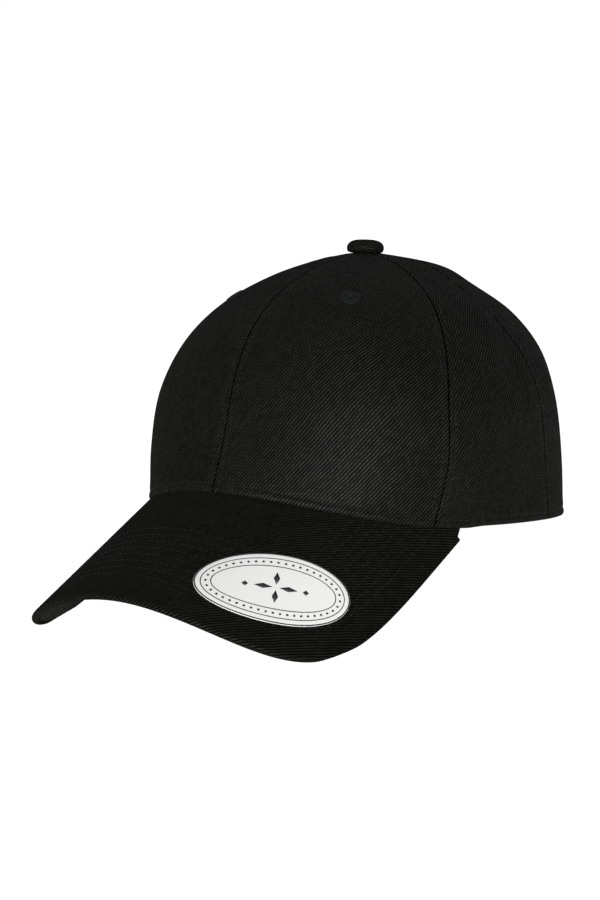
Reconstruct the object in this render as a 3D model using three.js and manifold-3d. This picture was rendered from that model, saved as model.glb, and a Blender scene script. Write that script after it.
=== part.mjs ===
// Snapback cap: six crown panels, a curved peak of two covers, a sweatband, a button,
// two eyelets, an oval label on the peak and a snap strap across the rear arch.
// Millimetres. The cap is drawn with its rim in the plane z = 0, the peak towards -Y
// and the wearer's left towards +X. It is then tilted back onto the surface that it
// rests on: two flattened spots under the peak, and the strap.

import * as THREE from 'three';
import { mergeVertices } from 'three/addons/utils/BufferGeometryUtils.js';
import Module from 'manifold-3d';

const wasm = await Module();
wasm.setup();

// Crown
const RIM_HALF_WIDTH = 82;
const RIM_HALF_LENGTH = 99;
const CROWN_HEIGHT = 115; // from the rim's plane to the top under the button
const TOP_SET_BACK = 3; // the top lies this far behind the middle of the rim
const CLOTH = 1.8; // wall of a crown panel
const GAP = 0.3; // clearance between neighbours
const FINEST = 0.01; // edges shorter than this are merged after cutting

// Rows of the crown from its rim to its top. height is a share of CROWN_HEIGHT. front,
// side and back are shares of the rim's half length or half width, and the corners are a
// fullness between them. The seams are angles in degrees from the front.
const CROWN_ROWS = [
  {
    height: 0.0, front: 1.0, side: 1.0, back: 1.0,
    frontCorner: 0.01, rearCorner: 0.072, sideSeam: 63, rearSeam: 110,
  },
  {
    height: 0.22, front: 0.94, side: 1.011, back: 0.965,
    frontCorner: 0.037, rearCorner: 0.054, sideSeam: 66, rearSeam: 106,
  },
  {
    height: 0.44, front: 0.89, side: 1.0, back: 0.93,
    frontCorner: 0.03, rearCorner: 0.031, sideSeam: 66, rearSeam: 103,
  },
  {
    height: 0.63, front: 0.8, side: 0.88, back: 0.92,
    frontCorner: 0.026, rearCorner: 0.028, sideSeam: 68, rearSeam: 103,
  },
  {
    height: 0.78, front: 0.645, side: 0.682, back: 0.8,
    frontCorner: 0.024, rearCorner: 0.026, sideSeam: 71, rearSeam: 105,
  },
  {
    height: 0.89, front: 0.435, side: 0.447, back: 0.59,
    frontCorner: 0.019, rearCorner: 0.026, sideSeam: 73, rearSeam: 109,
  },
  {
    height: 0.96, front: 0.205, side: 0.27, back: 0.385,
    frontCorner: -0.01, rearCorner: 0.03, sideSeam: 70, rearSeam: 114,
  },
  {
    height: 1.0, front: 0.0, side: 0.0, back: 0.0,
    frontCorner: 0.0, rearCorner: 0.0, sideSeam: 62, rearSeam: 120,
  },
];

// Soft folds of the crown, low swellings and dents (height below 0). angle is in degrees
// from the front, plus to the wearer's left, and row a place in the rows above; lean is
// how many degrees the fold turns from one end of the rows to the other.
const FOLDS = [
  { angle: 74, row: 0.68, width: 6, length: 0.15, lean: -25, height: 1.0 },
  { angle: 84, row: 0.62, width: 5, length: 0.14, lean: -20, height: -0.9 },
  { angle: 92, row: 0.5, width: 5, length: 0.12, lean: 80, height: 1.1 },
  { angle: 100, row: 0.47, width: 5, length: 0.12, lean: 60, height: -0.9 },
  { angle: 125, row: 0.55, width: 9, length: 0.16, lean: 30, height: -1.0 },
  { angle: -78, row: 0.64, width: 6, length: 0.15, lean: 25, height: 0.9 },
  { angle: -94, row: 0.5, width: 6, length: 0.12, lean: -60, height: -1.0 },
  { angle: -130, row: 0.56, width: 9, length: 0.16, lean: -30, height: -0.9 },
];
const PANEL_COLUMNS = 11;
const PANEL_ROWS = 14;
const PANEL_TOP = 0.975; // the panels end at this share of the rows, round the button's shank

// Rear arch and strap
const ARCH_SHARE = 0.537; // of the rim's half width
const ARCH_RADIUS = ARCH_SHARE * RIM_HALF_WIDTH;
const ARCH_STRAIGHT = 8; // upright sides below the round top
const STRAP_WIDTH = 19;
const STRAP_THICKNESS = 1.6;
const STRAP_ABOVE_RIM = 1.5;
const STRAP_TAB = 9; // length sewn in behind the panel at each side of the arch
const STRAP_OVERLAP = 62; // length over which the second strap lies on the first
const STRAP_SINK = 0.6; // the straps and pegs are one piece, joined to this depth
const STRAP_COLUMNS = 16;
const PEG_RADIUS = 2.4;
const PEG_HEIGHT = 1.2;
const PEG_PITCH = 9.5;
const PEG_COUNT = 7;

// Sweatband
const SWEATBAND = 1.2; // thickness
const SWEATBAND_WIDTH = 31;
const SWEATBAND_ABOVE_RIM = 0.6;
const SWEATBAND_COLUMNS = 54;
const SWEATBAND_ROWS = 2;

// Peak: a sheet bent round straight lines that slope down to the front
const PEAK_SLOPE = THREE.MathUtils.degToRad(31.6);
const PEAK_BEND_CLEAR = 1; // the bend reaches this far past the rim at each side
const PEAK_BEND_RADIUS = RIM_HALF_WIDTH + PEAK_BEND_CLEAR; // of the section across those lines
const PEAK_OPENING = -0.18; // how the bend opens out towards the sides
const PEAK_END_ANGLE = THREE.MathUtils.degToRad(71.5); // where its ends meet the rim
const PEAK_HALF_WIDTH = 105.5; // laid flat
const PEAK_SIDE_START = 69.5; // along the slope from the middle of the rim to the peak's ends
const PEAK_REACH = 118; // along the slope from there to the front edge
const PEAK_SIDE_POWER = 3; // squareness of the edge towards the sides
const PEAK_FRONT_POWER = 4.7; // squareness of the edge towards the front
const TOP_COVER = 1.5;
const UNDER_COVER = 1.5;
const UNDER_COVER_INSET = 0.8; // the under cover stops short of the folded edge
const SEAT_FRONT = 3.2; // how far the peak reaches in under the crown at the front
const SEAT_END = 0.6; // and at its ends
const END_CLEAR = THREE.MathUtils.degToRad(3); // the rim stays clear of the peak this far past its ends
const END_FADE = THREE.MathUtils.degToRad(6); // and then levels out
const PEAK_COLUMNS = 36;
const PEAK_ROWS = 6;
const EDGE_SAMPLES = 400;
const FLATTENED = 1; // depth of cloth pressed flat where the peak rests

// Button
const BUTTON_RADIUS = 8.2;
const BUTTON_HEIGHT = 5;
const BUTTON_EDGE = 2.2; // height of its rounded side
const SHANK_RADIUS = 2.4;
const SHANK_LENGTH = 6;
const BUTTON_SIDES = 20;

// Eyelets
const EYELET_RADIUS = 4.5;
const EYELET_HOLE = 1.5;
const EYELET_PROUD = 0.4;
const EYELET_HEIGHT = 92; // above the rim's plane
const EYELET_SIDES = 16;

// Oval label on the peak, placed on the flat sheet
const LABEL_LENGTH = 65.2;
const LABEL_WIDTH = 35;
const LABEL_THICKNESS = 0.6;
const LABEL_ACROSS = 55.3; // its middle, from the peak's middle line
const LABEL_ALONG = 151.9; // and along the slope
const LABEL_TURN = THREE.MathUtils.degToRad(-29.2);
const LABEL_COLUMNS = 28;
const LABEL_ROWS = 3;

const DEG = Math.PI / 180;
const UP = new THREE.Vector3(0, 0, 1);

const twill = () => new THREE.MeshStandardMaterial({ color: 0x1b1b1a, roughness: 0.85, metalness: 0 });
const lining = () => new THREE.MeshStandardMaterial({ color: 0x1d1d1d, roughness: 0.95, metalness: 0 });
const thread = () => new THREE.MeshStandardMaterial({ color: 0x202020, roughness: 0.7, metalness: 0 });
const plastic = () => new THREE.MeshStandardMaterial({ color: 0x121212, roughness: 0.4, metalness: 0 });
const foil = () => new THREE.MeshStandardMaterial({ color: 0xb9bbbd, roughness: 0.35, metalness: 0.6 });

// Smooth curve through the rows of a column, at t from 0 (rim) to 1 (top).
function rowValue(column, t) {
  const last = CROWN_ROWS.length - 1;
  const place = Math.min(Math.max(t, 0), 1) * last;
  const i = Math.min(Math.floor(place), last - 1);
  const f = place - i;
  const at = (k) => {
    if (k < 0) return 2 * CROWN_ROWS[0][column] - CROWN_ROWS[1][column];
    if (k > last) return 2 * CROWN_ROWS[last][column] - CROWN_ROWS[last - 1][column];
    return CROWN_ROWS[k][column];
  };
  const [a, b, c, d] = [at(i - 1), at(i), at(i + 1), at(i + 2)];
  const slope = (c - a) * f;
  const bend = (2 * a - 5 * b + 4 * c - d) * f ** 2;
  const twist = (3 * b - a - 3 * c + d) * f ** 3;
  return (2 * b + slope + bend + twist) / 2;
}

// Place in the rows of a height above the rim's plane.
function rowAtHeight(z) {
  let low = 0;
  let high = 1;
  for (let step = 0; step < 30; step += 1) {
    const middle = (low + high) / 2;
    if (rowValue('height', middle) * CROWN_HEIGHT < z) low = middle;
    else high = middle;
  }
  return (low + high) / 2;
}

// Height of the peak's bent section below its middle line.
function peakSection(x) {
  const s = x / PEAK_BEND_RADIUS;
  return -PEAK_BEND_RADIUS * (1 - Math.sqrt(1 - s ** 2)) * (1 + PEAK_OPENING * s ** 2);
}

// The peak's upper face as a height over the plan.
function peakHeight(x, y) {
  return PEAK_RIDGE + peakSection(x) / Math.cos(PEAK_SLOPE) + y * Math.tan(PEAK_SLOPE);
}

// Height of the middle line over the middle of the rim, so that the peak's ends meet the rim's plane.
const PEAK_END_X = RIM_HALF_WIDTH * Math.sin(PEAK_END_ANGLE);
const PEAK_END_Y = -RIM_HALF_LENGTH * Math.cos(PEAK_END_ANGLE);
const PEAK_RIDGE = -peakSection(PEAK_END_X) / Math.cos(PEAK_SLOPE) - PEAK_END_Y * Math.tan(PEAK_SLOPE);

// How far an angle lies past the peak's ends, from 0 on the peak to 1 where the rim is level.
function pastPeak(theta) {
  const turn = Math.abs(Math.atan2(Math.sin(theta), Math.cos(theta)));
  return Math.min(Math.max((turn - PEAK_END_ANGLE - END_CLEAR) / END_FADE, 0), 1);
}

// How far the folds move the cloth outwards at an angle and row.
function foldHeight(theta, t) {
  const turn = Math.atan2(Math.sin(theta), Math.cos(theta)) / DEG;
  let height = 0;
  for (const fold of FOLDS) {
    const along = (t - fold.row) / fold.length;
    const across = (turn - fold.angle - fold.lean * (t - fold.row)) / fold.width;
    height += fold.height * Math.exp(-(along ** 2) - across ** 2);
  }
  return height;
}

// Share of the rim's half sizes that the crown reaches at an angle and row.
function planShare(theta, t) {
  const [c, s] = [Math.cos(theta), Math.sin(theta)];
  const [lengthways, corner] = c > 0 ? ['front', 'frontCorner'] : ['back', 'rearCorner'];
  return rowValue('side', t) * s ** 2 + rowValue(lengthways, t) * c ** 2
    + rowValue(corner, t) * Math.sin(2 * theta) ** 2 + foldHeight(theta, t) / RIM_HALF_WIDTH;
}

// Lower edge of the crown's outer face, which sits on the peak at the front. theta runs
// from the front to the wearer's left.
function rimHeight(theta) {
  const past = pastPeak(theta);
  if (past === 1) return 0;
  const share = planShare(theta, 0);
  const x = RIM_HALF_WIDTH * Math.sin(theta) * share;
  const y = -RIM_HALF_LENGTH * Math.cos(theta) * share;
  return (peakHeight(x, y) + GAP) * (1 - past);
}

// Point of the crown at angle theta and row t, inset from its outer face.
function crownPoint(theta, t, inset) {
  const [c, s] = [Math.cos(theta), Math.sin(theta)];
  const share = planShare(theta, t);
  const height = rowValue('height', t);
  return new THREE.Vector3(
    (RIM_HALF_WIDTH - inset) * s * share,
    -(RIM_HALF_LENGTH - inset) * c * share + TOP_SET_BACK * height,
    rimHeight(theta) * (1 - height) + (CROWN_HEIGHT - inset) * height,
  );
}

// Row at which an inset face starts, so that it clears the peak below it by lift.
function firstRow(theta, inset, lift) {
  const past = pastPeak(theta);
  const level = rowAtHeight(lift - GAP);
  if (past === 1) return level;
  let low = 0;
  let high = 0.5;
  for (let step = 0; step < 30; step += 1) {
    const middle = (low + high) / 2;
    const point = crownPoint(theta, middle, inset);
    if (point.z < peakHeight(point.x, point.y) + lift) low = middle;
    else high = middle;
  }
  return Math.max(low * (1 - past), level);
}

function crownNormal(theta, t) {
  const step = 0.004;
  const across = crownPoint(theta + step, t, 0).sub(crownPoint(theta - step, t, 0));
  const upwards = crownPoint(theta, t + step, 0).sub(crownPoint(theta, t - step, 0));
  return across.cross(upwards).normalize();
}

// Closed wall between two grids of points, the first one outside.
function wallGeometry(outer, inner) {
  const rows = outer.length;
  const columns = outer[0].length;
  const positions = [...outer.flat(), ...inner.flat()].flatMap((p) => p.toArray());
  const index = [];
  const at = (side, i, j) => side * rows * columns + i * columns + j;
  const quad = (a, b, c, d) => index.push(a, b, c, a, c, d);
  for (let i = 0; i < rows - 1; i += 1) {
    for (let j = 0; j < columns - 1; j += 1) {
      quad(at(0, i, j), at(0, i, j + 1), at(0, i + 1, j + 1), at(0, i + 1, j));
      quad(at(1, i, j), at(1, i + 1, j), at(1, i + 1, j + 1), at(1, i, j + 1));
    }
    quad(at(0, i, 0), at(0, i + 1, 0), at(1, i + 1, 0), at(1, i, 0));
    quad(at(0, i, columns - 1), at(1, i, columns - 1), at(1, i + 1, columns - 1), at(0, i + 1, columns - 1));
  }
  for (let j = 0; j < columns - 1; j += 1) {
    quad(at(0, 0, j), at(1, 0, j), at(1, 0, j + 1), at(0, 0, j + 1));
    quad(at(0, rows - 1, j), at(0, rows - 1, j + 1), at(1, rows - 1, j + 1), at(1, rows - 1, j));
  }
  const geometry = new THREE.BufferGeometry();
  geometry.setAttribute('position', new THREE.Float32BufferAttribute(positions, 3));
  geometry.setIndex(index);
  return facingOut(geometry);
}

// Turns the faces round if the body's volume comes out negative.
function facingOut(geometry) {
  const p = geometry.getAttribute('position');
  const index = geometry.getIndex();
  const corner = (k) => new THREE.Vector3().fromBufferAttribute(p, index.getX(k));
  let volume = 0;
  for (let k = 0; k < index.count; k += 3) volume += corner(k).dot(corner(k + 1).cross(corner(k + 2)));
  if (volume < 0) {
    for (let k = 0; k < index.count; k += 3) {
      const second = index.getX(k + 1);
      index.setX(k + 1, index.getX(k + 2));
      index.setX(k + 2, second);
    }
  }
  return geometry;
}

function toSolid(geometry) {
  const bare = geometry.clone();
  bare.deleteAttribute('normal');
  bare.deleteAttribute('uv');
  const merged = mergeVertices(bare, 1e-4);
  return new wasm.Manifold(new wasm.Mesh({
    numProp: 3,
    vertProperties: new Float32Array(merged.getAttribute('position').array),
    triVerts: new Uint32Array(merged.getIndex().array),
  }));
}

function toGeometry(solid) {
  const mesh = solid.simplify(FINEST).getMesh();
  const geometry = new THREE.BufferGeometry();
  geometry.setAttribute('position', new THREE.BufferAttribute(mesh.vertProperties, 3));
  geometry.setIndex(new THREE.BufferAttribute(mesh.triVerts, 1));
  return geometry;
}

function piece(name, geometry, material) {
  const drawn = geometry.index ? geometry.toNonIndexed() : geometry;
  drawn.computeVertexNormals();
  const mesh = new THREE.Mesh(drawn, material);
  mesh.name = name;
  return mesh;
}

// Grid of points from a function of two shares.
function grid(rows, columns, point) {
  return Array.from({ length: rows + 1 }, (_, i) => (
    Array.from({ length: columns + 1 }, (_, j) => point(i / rows, j / columns))));
}

// Angle of a seam at row t; the front and back seams are straight.
function seamAngle(seam, t) {
  if (seam === 'front') return 0;
  if (seam === 'back') return Math.PI;
  return rowValue(seam, t) * DEG;
}

const PANELS = [
  { name: 'front', from: 'front', to: 'sideSeam', eyelet: true },
  { name: 'side', from: 'sideSeam', to: 'rearSeam', eyelet: false },
  { name: 'back', from: 'rearSeam', to: 'back', eyelet: false },
];
const SIDES = [
  { name: 'left', sign: 1 },
  { name: 'right', sign: -1 },
];

// One panel, half a gap clear of each seam.
function panelGeometry(panel, sign) {
  const face = (inset) => grid(PANEL_ROWS, PANEL_COLUMNS, (up, along) => {
    const t = up * PANEL_TOP;
    const [from, to] = [seamAngle(panel.from, t), seamAngle(panel.to, t)];
    const middle = crownPoint((from + to) / 2, t, 0);
    const clear = GAP / 2 / Math.hypot(middle.x, middle.y - TOP_SET_BACK * rowValue('height', t));
    const theta = sign * (from + clear + (to - from - 2 * clear) * along);
    const start = inset ? firstRow(theta, inset, GAP) : 0;
    return crownPoint(theta, start + (PANEL_TOP - start) * up, inset);
  });
  return wallGeometry(face(0), face(CLOTH));
}

function eyeletPlace(panel, sign) {
  const t = rowAtHeight(EYELET_HEIGHT);
  const theta = sign * (seamAngle(panel.from, t) + seamAngle(panel.to, t)) / 2;
  const normal = crownNormal(theta, t);
  const turn = new THREE.Quaternion().setFromUnitVectors(UP, normal);
  return new THREE.Matrix4().compose(crownPoint(theta, t, 0), turn, new THREE.Vector3(1, 1, 1));
}

// Stitched ring that lines the hole, a little proud on both faces of the cloth.
function eyeletGeometry() {
  const [top, bottom, round] = [EYELET_PROUD, -CLOTH - EYELET_PROUD, EYELET_PROUD];
  const profile = [
    [EYELET_HOLE, bottom + round],
    [EYELET_HOLE + round, bottom],
    [EYELET_RADIUS, bottom + round],
    [EYELET_RADIUS, top - round],
    [EYELET_HOLE + round, top],
    [EYELET_HOLE, top - round],
    [EYELET_HOLE, bottom + round],
  ].map(([r, z]) => new THREE.Vector2(r, z));
  return new THREE.LatheGeometry(profile, EYELET_SIDES).rotateX(Math.PI / 2);
}

function eyeletDrill() {
  const length = 6 * CLOTH;
  return new THREE.CylinderGeometry(EYELET_RADIUS + GAP, EYELET_RADIUS + GAP, length, EYELET_SIDES)
    .rotateX(Math.PI / 2);
}

// Cutter for the rear arch: upright sides and a round top.
function archCutter() {
  const below = -2 * ARCH_STRAIGHT;
  const outline = new THREE.Shape();
  outline.moveTo(-ARCH_RADIUS, below);
  outline.lineTo(ARCH_RADIUS, below);
  outline.absarc(0, ARCH_STRAIGHT, ARCH_RADIUS, 0, Math.PI, false);
  outline.closePath();
  const cutter = new THREE.ExtrudeGeometry(outline, {
    depth: RIM_HALF_LENGTH,
    bevelEnabled: false,
    curveSegments: 20,
  });
  return cutter.rotateX(Math.PI / 2).translate(0, RIM_HALF_LENGTH * 1.2, 0);
}

function crownPieces() {
  const pieces = [];
  const arch = toSolid(archCutter());
  for (const side of SIDES) {
    for (const panel of PANELS) {
      let solid = toSolid(panelGeometry(panel, side.sign));
      if (panel.name === 'back') solid = solid.subtract(arch);
      if (panel.eyelet) {
        const place = eyeletPlace(panel, side.sign);
        solid = solid.subtract(toSolid(eyeletDrill().applyMatrix4(place)));
        const eyelet = piece(`eyelet_${panel.name}_${side.name}`, eyeletGeometry(), thread());
        eyelet.applyMatrix4(place);
        pieces.push(eyelet);
      }
      pieces.push(piece(`crown_panel_${panel.name}_${side.name}`, toGeometry(solid), twill()));
    }
  }
  return pieces;
}

// Cloth-covered button: a low dome whose shank goes down through the panels' tops.
function buttonPiece() {
  const lastRows = CROWN_ROWS.slice(-2);
  const run = RIM_HALF_LENGTH * lastRows[0].back;
  const fall = CROWN_HEIGHT * (lastRows[1].height - lastRows[0].height);
  const underside = (r) => GAP - (r * fall) / run;
  const profile = [new THREE.Vector2(0, -SHANK_LENGTH), new THREE.Vector2(SHANK_RADIUS, -SHANK_LENGTH)];
  profile.push(new THREE.Vector2(SHANK_RADIUS, underside(SHANK_RADIUS)));
  profile.push(new THREE.Vector2(BUTTON_RADIUS * 0.94, underside(BUTTON_RADIUS)));
  const domeSteps = 6;
  for (let k = 0; k <= domeSteps; k += 1) {
    const angle = (k / domeSteps) * (Math.PI / 2);
    const rise = BUTTON_HEIGHT - BUTTON_EDGE / 2;
    profile.push(new THREE.Vector2(
      k === domeSteps ? 0 : BUTTON_RADIUS * Math.cos(angle) ** 0.7,
      BUTTON_EDGE / 2 + rise * Math.sin(angle) ** 1.2,
    ));
  }
  const turned = new THREE.LatheGeometry(profile, BUTTON_SIDES).rotateX(Math.PI / 2);
  const button = piece('top_button', turned, twill());
  button.position.set(0, TOP_SET_BACK, CROWN_HEIGHT);
  return button;
}

// Arc from one end of the rear arch to the other, as angles either side of the back.
const ARCH_END_ANGLE = Math.asin(ARCH_RADIUS / RIM_HALF_WIDTH);
const TAB_ANGLE = STRAP_TAB / RIM_HALF_WIDTH;

// Band round the inside of the rim, open at the arch.
function sweatbandPiece() {
  const end = Math.PI - ARCH_END_ANGLE - TAB_ANGLE - 2 * GAP / RIM_HALF_WIDTH;
  const top = rowAtHeight(SWEATBAND_WIDTH);
  const face = (inset) => grid(SWEATBAND_ROWS, SWEATBAND_COLUMNS, (up, along) => {
    const theta = end * (2 * along - 1);
    const start = firstRow(theta, inset, GAP + SWEATBAND_ABOVE_RIM);
    return crownPoint(theta, start + (top - start) * up, inset);
  });
  const outside = CLOTH + GAP;
  return piece('sweatband', wallGeometry(face(outside), face(outside + SWEATBAND)), lining());
}

// Stretch of strap along the rear rim, between two angles from the back.
function strapSolid(from, to, outside, trim = 0) {
  const [low, high] = [STRAP_ABOVE_RIM + trim, STRAP_ABOVE_RIM + STRAP_WIDTH - trim].map(rowAtHeight);
  const face = (inset) => grid(2, STRAP_COLUMNS, (up, along) => (
    crownPoint(Math.PI + from + (to - from) * along, low + (high - low) * up, inset)));
  return toSolid(wallGeometry(face(outside), face(outside + STRAP_THICKNESS)));
}

// The closed snap strap: one strap from tab to tab, a second one on it, and the pegs.
function closurePiece() {
  const reach = ARCH_END_ANGLE + TAB_ANGLE;
  const inner = CLOTH + GAP;
  const outer = inner - STRAP_THICKNESS + STRAP_SINK;
  const half = STRAP_OVERLAP / 2 / RIM_HALF_LENGTH;
  let solid = strapSolid(-reach, reach, inner).add(strapSolid(-half, half, outer, GAP));
  const middle = rowAtHeight(STRAP_ABOVE_RIM + STRAP_WIDTH / 2);
  for (let k = 0; k < PEG_COUNT; k += 1) {
    const theta = Math.PI + ((k - (PEG_COUNT - 1) / 2) * PEG_PITCH) / RIM_HALF_LENGTH;
    const onTop = Math.abs(theta - Math.PI) < half;
    const turn = new THREE.Quaternion().setFromUnitVectors(UP, crownNormal(theta, middle));
    const peg = new THREE.CylinderGeometry(PEG_RADIUS * 0.85, PEG_RADIUS, PEG_HEIGHT + STRAP_SINK, 10)
      .rotateX(Math.PI / 2)
      .translate(0, 0, (PEG_HEIGHT - STRAP_SINK) / 2)
      .applyQuaternion(turn);
    const foot = crownPoint(theta, middle, onTop ? outer : inner);
    solid = solid.add(toSolid(peg.translate(foot.x, foot.y, foot.z)));
  }
  return piece('snap_closure', toGeometry(solid), plastic());
}

// Point of the peak's sheet laid out flat (across, along), at a depth below its upper face.
function peakPoint(flat, depth) {
  const x = PEAK_BEND_RADIUS * Math.sin(flat.across / PEAK_BEND_RADIUS);
  const step = 0.01;
  const incline = (peakSection(x + step) - peakSection(x - step)) / (2 * step);
  const section = peakSection(x);
  const [c, s] = [Math.cos(PEAK_SLOPE), Math.sin(PEAK_SLOPE)];
  const y = -section * s - flat.along * c;
  const z = PEAK_RIDGE + section * c - flat.along * s;
  const point = new THREE.Vector3(x, y, z);
  const acrossIt = new THREE.Vector3(1, -incline * s, incline * c);
  const downIt = new THREE.Vector3(0, -c, -s);
  return point.addScaledVector(downIt.cross(acrossIt).normalize(), -depth);
}

// The peak's outer edge on the flat sheet, from one end (-90 degrees) to the other.
function peakEdge(angle, inset) {
  const across = Math.abs(Math.sin(angle)) ** (2 / PEAK_SIDE_POWER);
  const along = Math.abs(Math.cos(angle)) ** (2 / PEAK_FRONT_POWER);
  return {
    across: Math.sign(Math.sin(angle)) * (PEAK_HALF_WIDTH - inset) * across,
    along: PEAK_SIDE_START + (PEAK_REACH - inset) * along,
  };
}

// The peak's inner edge on the flat sheet, under the crown's wall.
function peakSeat(theta) {
  const middle = Math.cos((theta / PEAK_END_ANGLE) * (Math.PI / 2));
  const inset = SEAT_END + (SEAT_FRONT - SEAT_END) * middle;
  const share = planShare(theta, 0);
  const x = (RIM_HALF_WIDTH - inset) * Math.sin(theta) * share;
  const y = -(RIM_HALF_LENGTH - inset) * Math.cos(theta) * share;
  return {
    across: PEAK_BEND_RADIUS * Math.asin(x / PEAK_BEND_RADIUS),
    along: (-y - peakSection(x) * Math.sin(PEAK_SLOPE)) / Math.cos(PEAK_SLOPE),
  };
}

// Points spaced evenly along a curve that is given by a share from 0 to 1.
function evenly(curve, count) {
  const fine = Array.from({ length: EDGE_SAMPLES + 1 }, (_, k) => curve(k / EDGE_SAMPLES));
  const run = [0];
  for (let k = 1; k < fine.length; k += 1) {
    run.push(run[k - 1] + Math.hypot(fine[k].across - fine[k - 1].across, fine[k].along - fine[k - 1].along));
  }
  const points = [];
  let k = 0;
  for (let n = 0; n <= count; n += 1) {
    const wanted = (run[run.length - 1] * n) / count;
    while (k < run.length - 2 && run[k + 1] < wanted) k += 1;
    points.push(between(fine[k], fine[k + 1], (wanted - run[k]) / (run[k + 1] - run[k])));
  }
  return points;
}

function between(a, b, share) {
  return {
    across: a.across + (b.across - a.across) * share,
    along: a.along + (b.along - a.along) * share,
  };
}

// One cover of the peak, a fan from the seat to the outer edge.
function coverGeometry(upper, thickness, inset) {
  const seat = evenly((share) => peakSeat(PEAK_END_ANGLE * (2 * share - 1)), PEAK_COLUMNS);
  const edge = evenly((share) => peakEdge(Math.PI * (share - 0.5), inset), PEAK_COLUMNS);
  const face = (depth) => grid(PEAK_ROWS, PEAK_COLUMNS, (out, along) => {
    const column = Math.round(along * PEAK_COLUMNS);
    return peakPoint(between(seat[column], edge[column], out), depth);
  });
  return wallGeometry(face(upper), face(upper + thickness));
}

// Oval label, bent with the peak and a gap above it.
function labelPiece() {
  const face = (depth) => grid(LABEL_ROWS, LABEL_COLUMNS, (out, around) => {
    const angle = around * 2 * Math.PI;
    const [a, b] = [(LABEL_LENGTH / 2) * Math.cos(angle), (LABEL_WIDTH / 2) * Math.sin(angle)];
    const [c, s] = [Math.cos(LABEL_TURN), Math.sin(LABEL_TURN)];
    const flat = {
      across: LABEL_ACROSS + (a * c - b * s) * out,
      along: LABEL_ALONG + (a * s + b * c) * out,
    };
    return peakPoint(flat, depth);
  });
  const solid = toSolid(roundPlate(face(-GAP - LABEL_THICKNESS), face(-GAP)));
  return piece('peak_label', toGeometry(solid), foil());
}

// Closed plate from two grids whose rows run out from a middle point.
function roundPlate(outer, inner) {
  const rows = outer.length - 1;
  const columns = outer[0].length - 1;
  const positions = [];
  const index = [];
  const at = (side, i, j) => side * (rows * columns + 1) + (i === 0 ? 0 : 1 + (i - 1) * columns + (j % columns));
  for (const face of [outer, inner]) {
    positions.push(...face[0][0].toArray());
    for (let i = 1; i <= rows; i += 1) {
      for (let j = 0; j < columns; j += 1) positions.push(...face[i][j].toArray());
    }
  }
  for (let j = 0; j < columns; j += 1) {
    index.push(at(0, 0, 0), at(0, 1, j), at(0, 1, j + 1));
    index.push(at(1, 0, 0), at(1, 1, j + 1), at(1, 1, j));
    for (let i = 1; i < rows; i += 1) {
      index.push(at(0, i, j), at(0, i + 1, j), at(0, i + 1, j + 1));
      index.push(at(0, i, j), at(0, i + 1, j + 1), at(0, i, j + 1));
      index.push(at(1, i, j), at(1, i + 1, j + 1), at(1, i + 1, j));
      index.push(at(1, i, j), at(1, i, j + 1), at(1, i + 1, j + 1));
    }
    index.push(at(0, rows, j), at(1, rows, j), at(1, rows, j + 1));
    index.push(at(0, rows, j), at(1, rows, j + 1), at(0, rows, j + 1));
  }
  const geometry = new THREE.BufferGeometry();
  geometry.setAttribute('position', new THREE.Float32BufferAttribute(positions, 3));
  geometry.setIndex(index);
  return facingOut(geometry);
}

// Lowest point of a body once the cap is tilted back by an angle.
function lowest(mesh, tilt) {
  const turn = new THREE.Matrix4().makeRotationX(-tilt).multiply(mesh.matrix);
  return new THREE.Box3().setFromBufferAttribute(
    mesh.geometry.getAttribute('position').clone().applyMatrix4(turn),
  ).min.z;
}

// Tilt at which the strap and the flattened peak stand on one plane.
function restingTilt(frontMesh, rearMesh) {
  let low = 0;
  let high = Math.PI / 4;
  for (let step = 0; step < 40; step += 1) {
    const tilt = (low + high) / 2;
    if (lowest(frontMesh, tilt) + FLATTENED < lowest(rearMesh, tilt)) low = tilt;
    else high = tilt;
  }
  return (low + high) / 2;
}

// Presses a cover of the peak flat on the surface that the cap rests on.
function pressedFlat(geometry, tilt, floor) {
  const size = 4 * RIM_HALF_LENGTH;
  const ground = new THREE.BoxGeometry(size, size, size)
    .translate(0, 0, floor - size / 2)
    .applyMatrix4(new THREE.Matrix4().makeRotationX(tilt));
  return toGeometry(toSolid(geometry).subtract(toSolid(ground)));
}

const closure = closurePiece();
const upperCover = coverGeometry(0, TOP_COVER, 0);
const underCover = coverGeometry(TOP_COVER + GAP, UNDER_COVER, UNDER_COVER_INSET);
const tilt = restingTilt(piece('under', underCover, lining()), closure);
const floor = lowest(closure, tilt);

const cap = new THREE.Group();
cap.add(...crownPieces());
cap.add(buttonPiece());
cap.add(sweatbandPiece());
cap.add(closure);
cap.add(piece('peak_top_cover', pressedFlat(upperCover, tilt, floor), twill()));
cap.add(piece('peak_under_cover', pressedFlat(underCover, tilt, floor), twill()));
cap.add(labelPiece());

// Tilted back, with the middle of its outline over the origin
cap.rotation.x = -tilt;
const outline = new THREE.Box3().setFromObject(cap, true);
cap.position.set(0, -(outline.min.y + outline.max.y) / 2, -outline.min.z);

export default cap;
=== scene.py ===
"""A snapback cap in black twill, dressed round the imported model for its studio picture.

Blender 4.5. The cap is drawn in its own frame, in millimetres: its rim lies in the plane
z = 0, the peak points to -Y and the wearer's left is +X. Seat tilts and moves it to where
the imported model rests, in metres. On the crown a place is an angle from the front, plus
to the wearer's left, and a row from 0 at the rim to 1 at the top. On the peak it is a
distance across and along the sheet, laid out flat.
"""

import math
import random

import bmesh
import bpy
import numpy as np
from mathutils import Matrix, Vector


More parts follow.
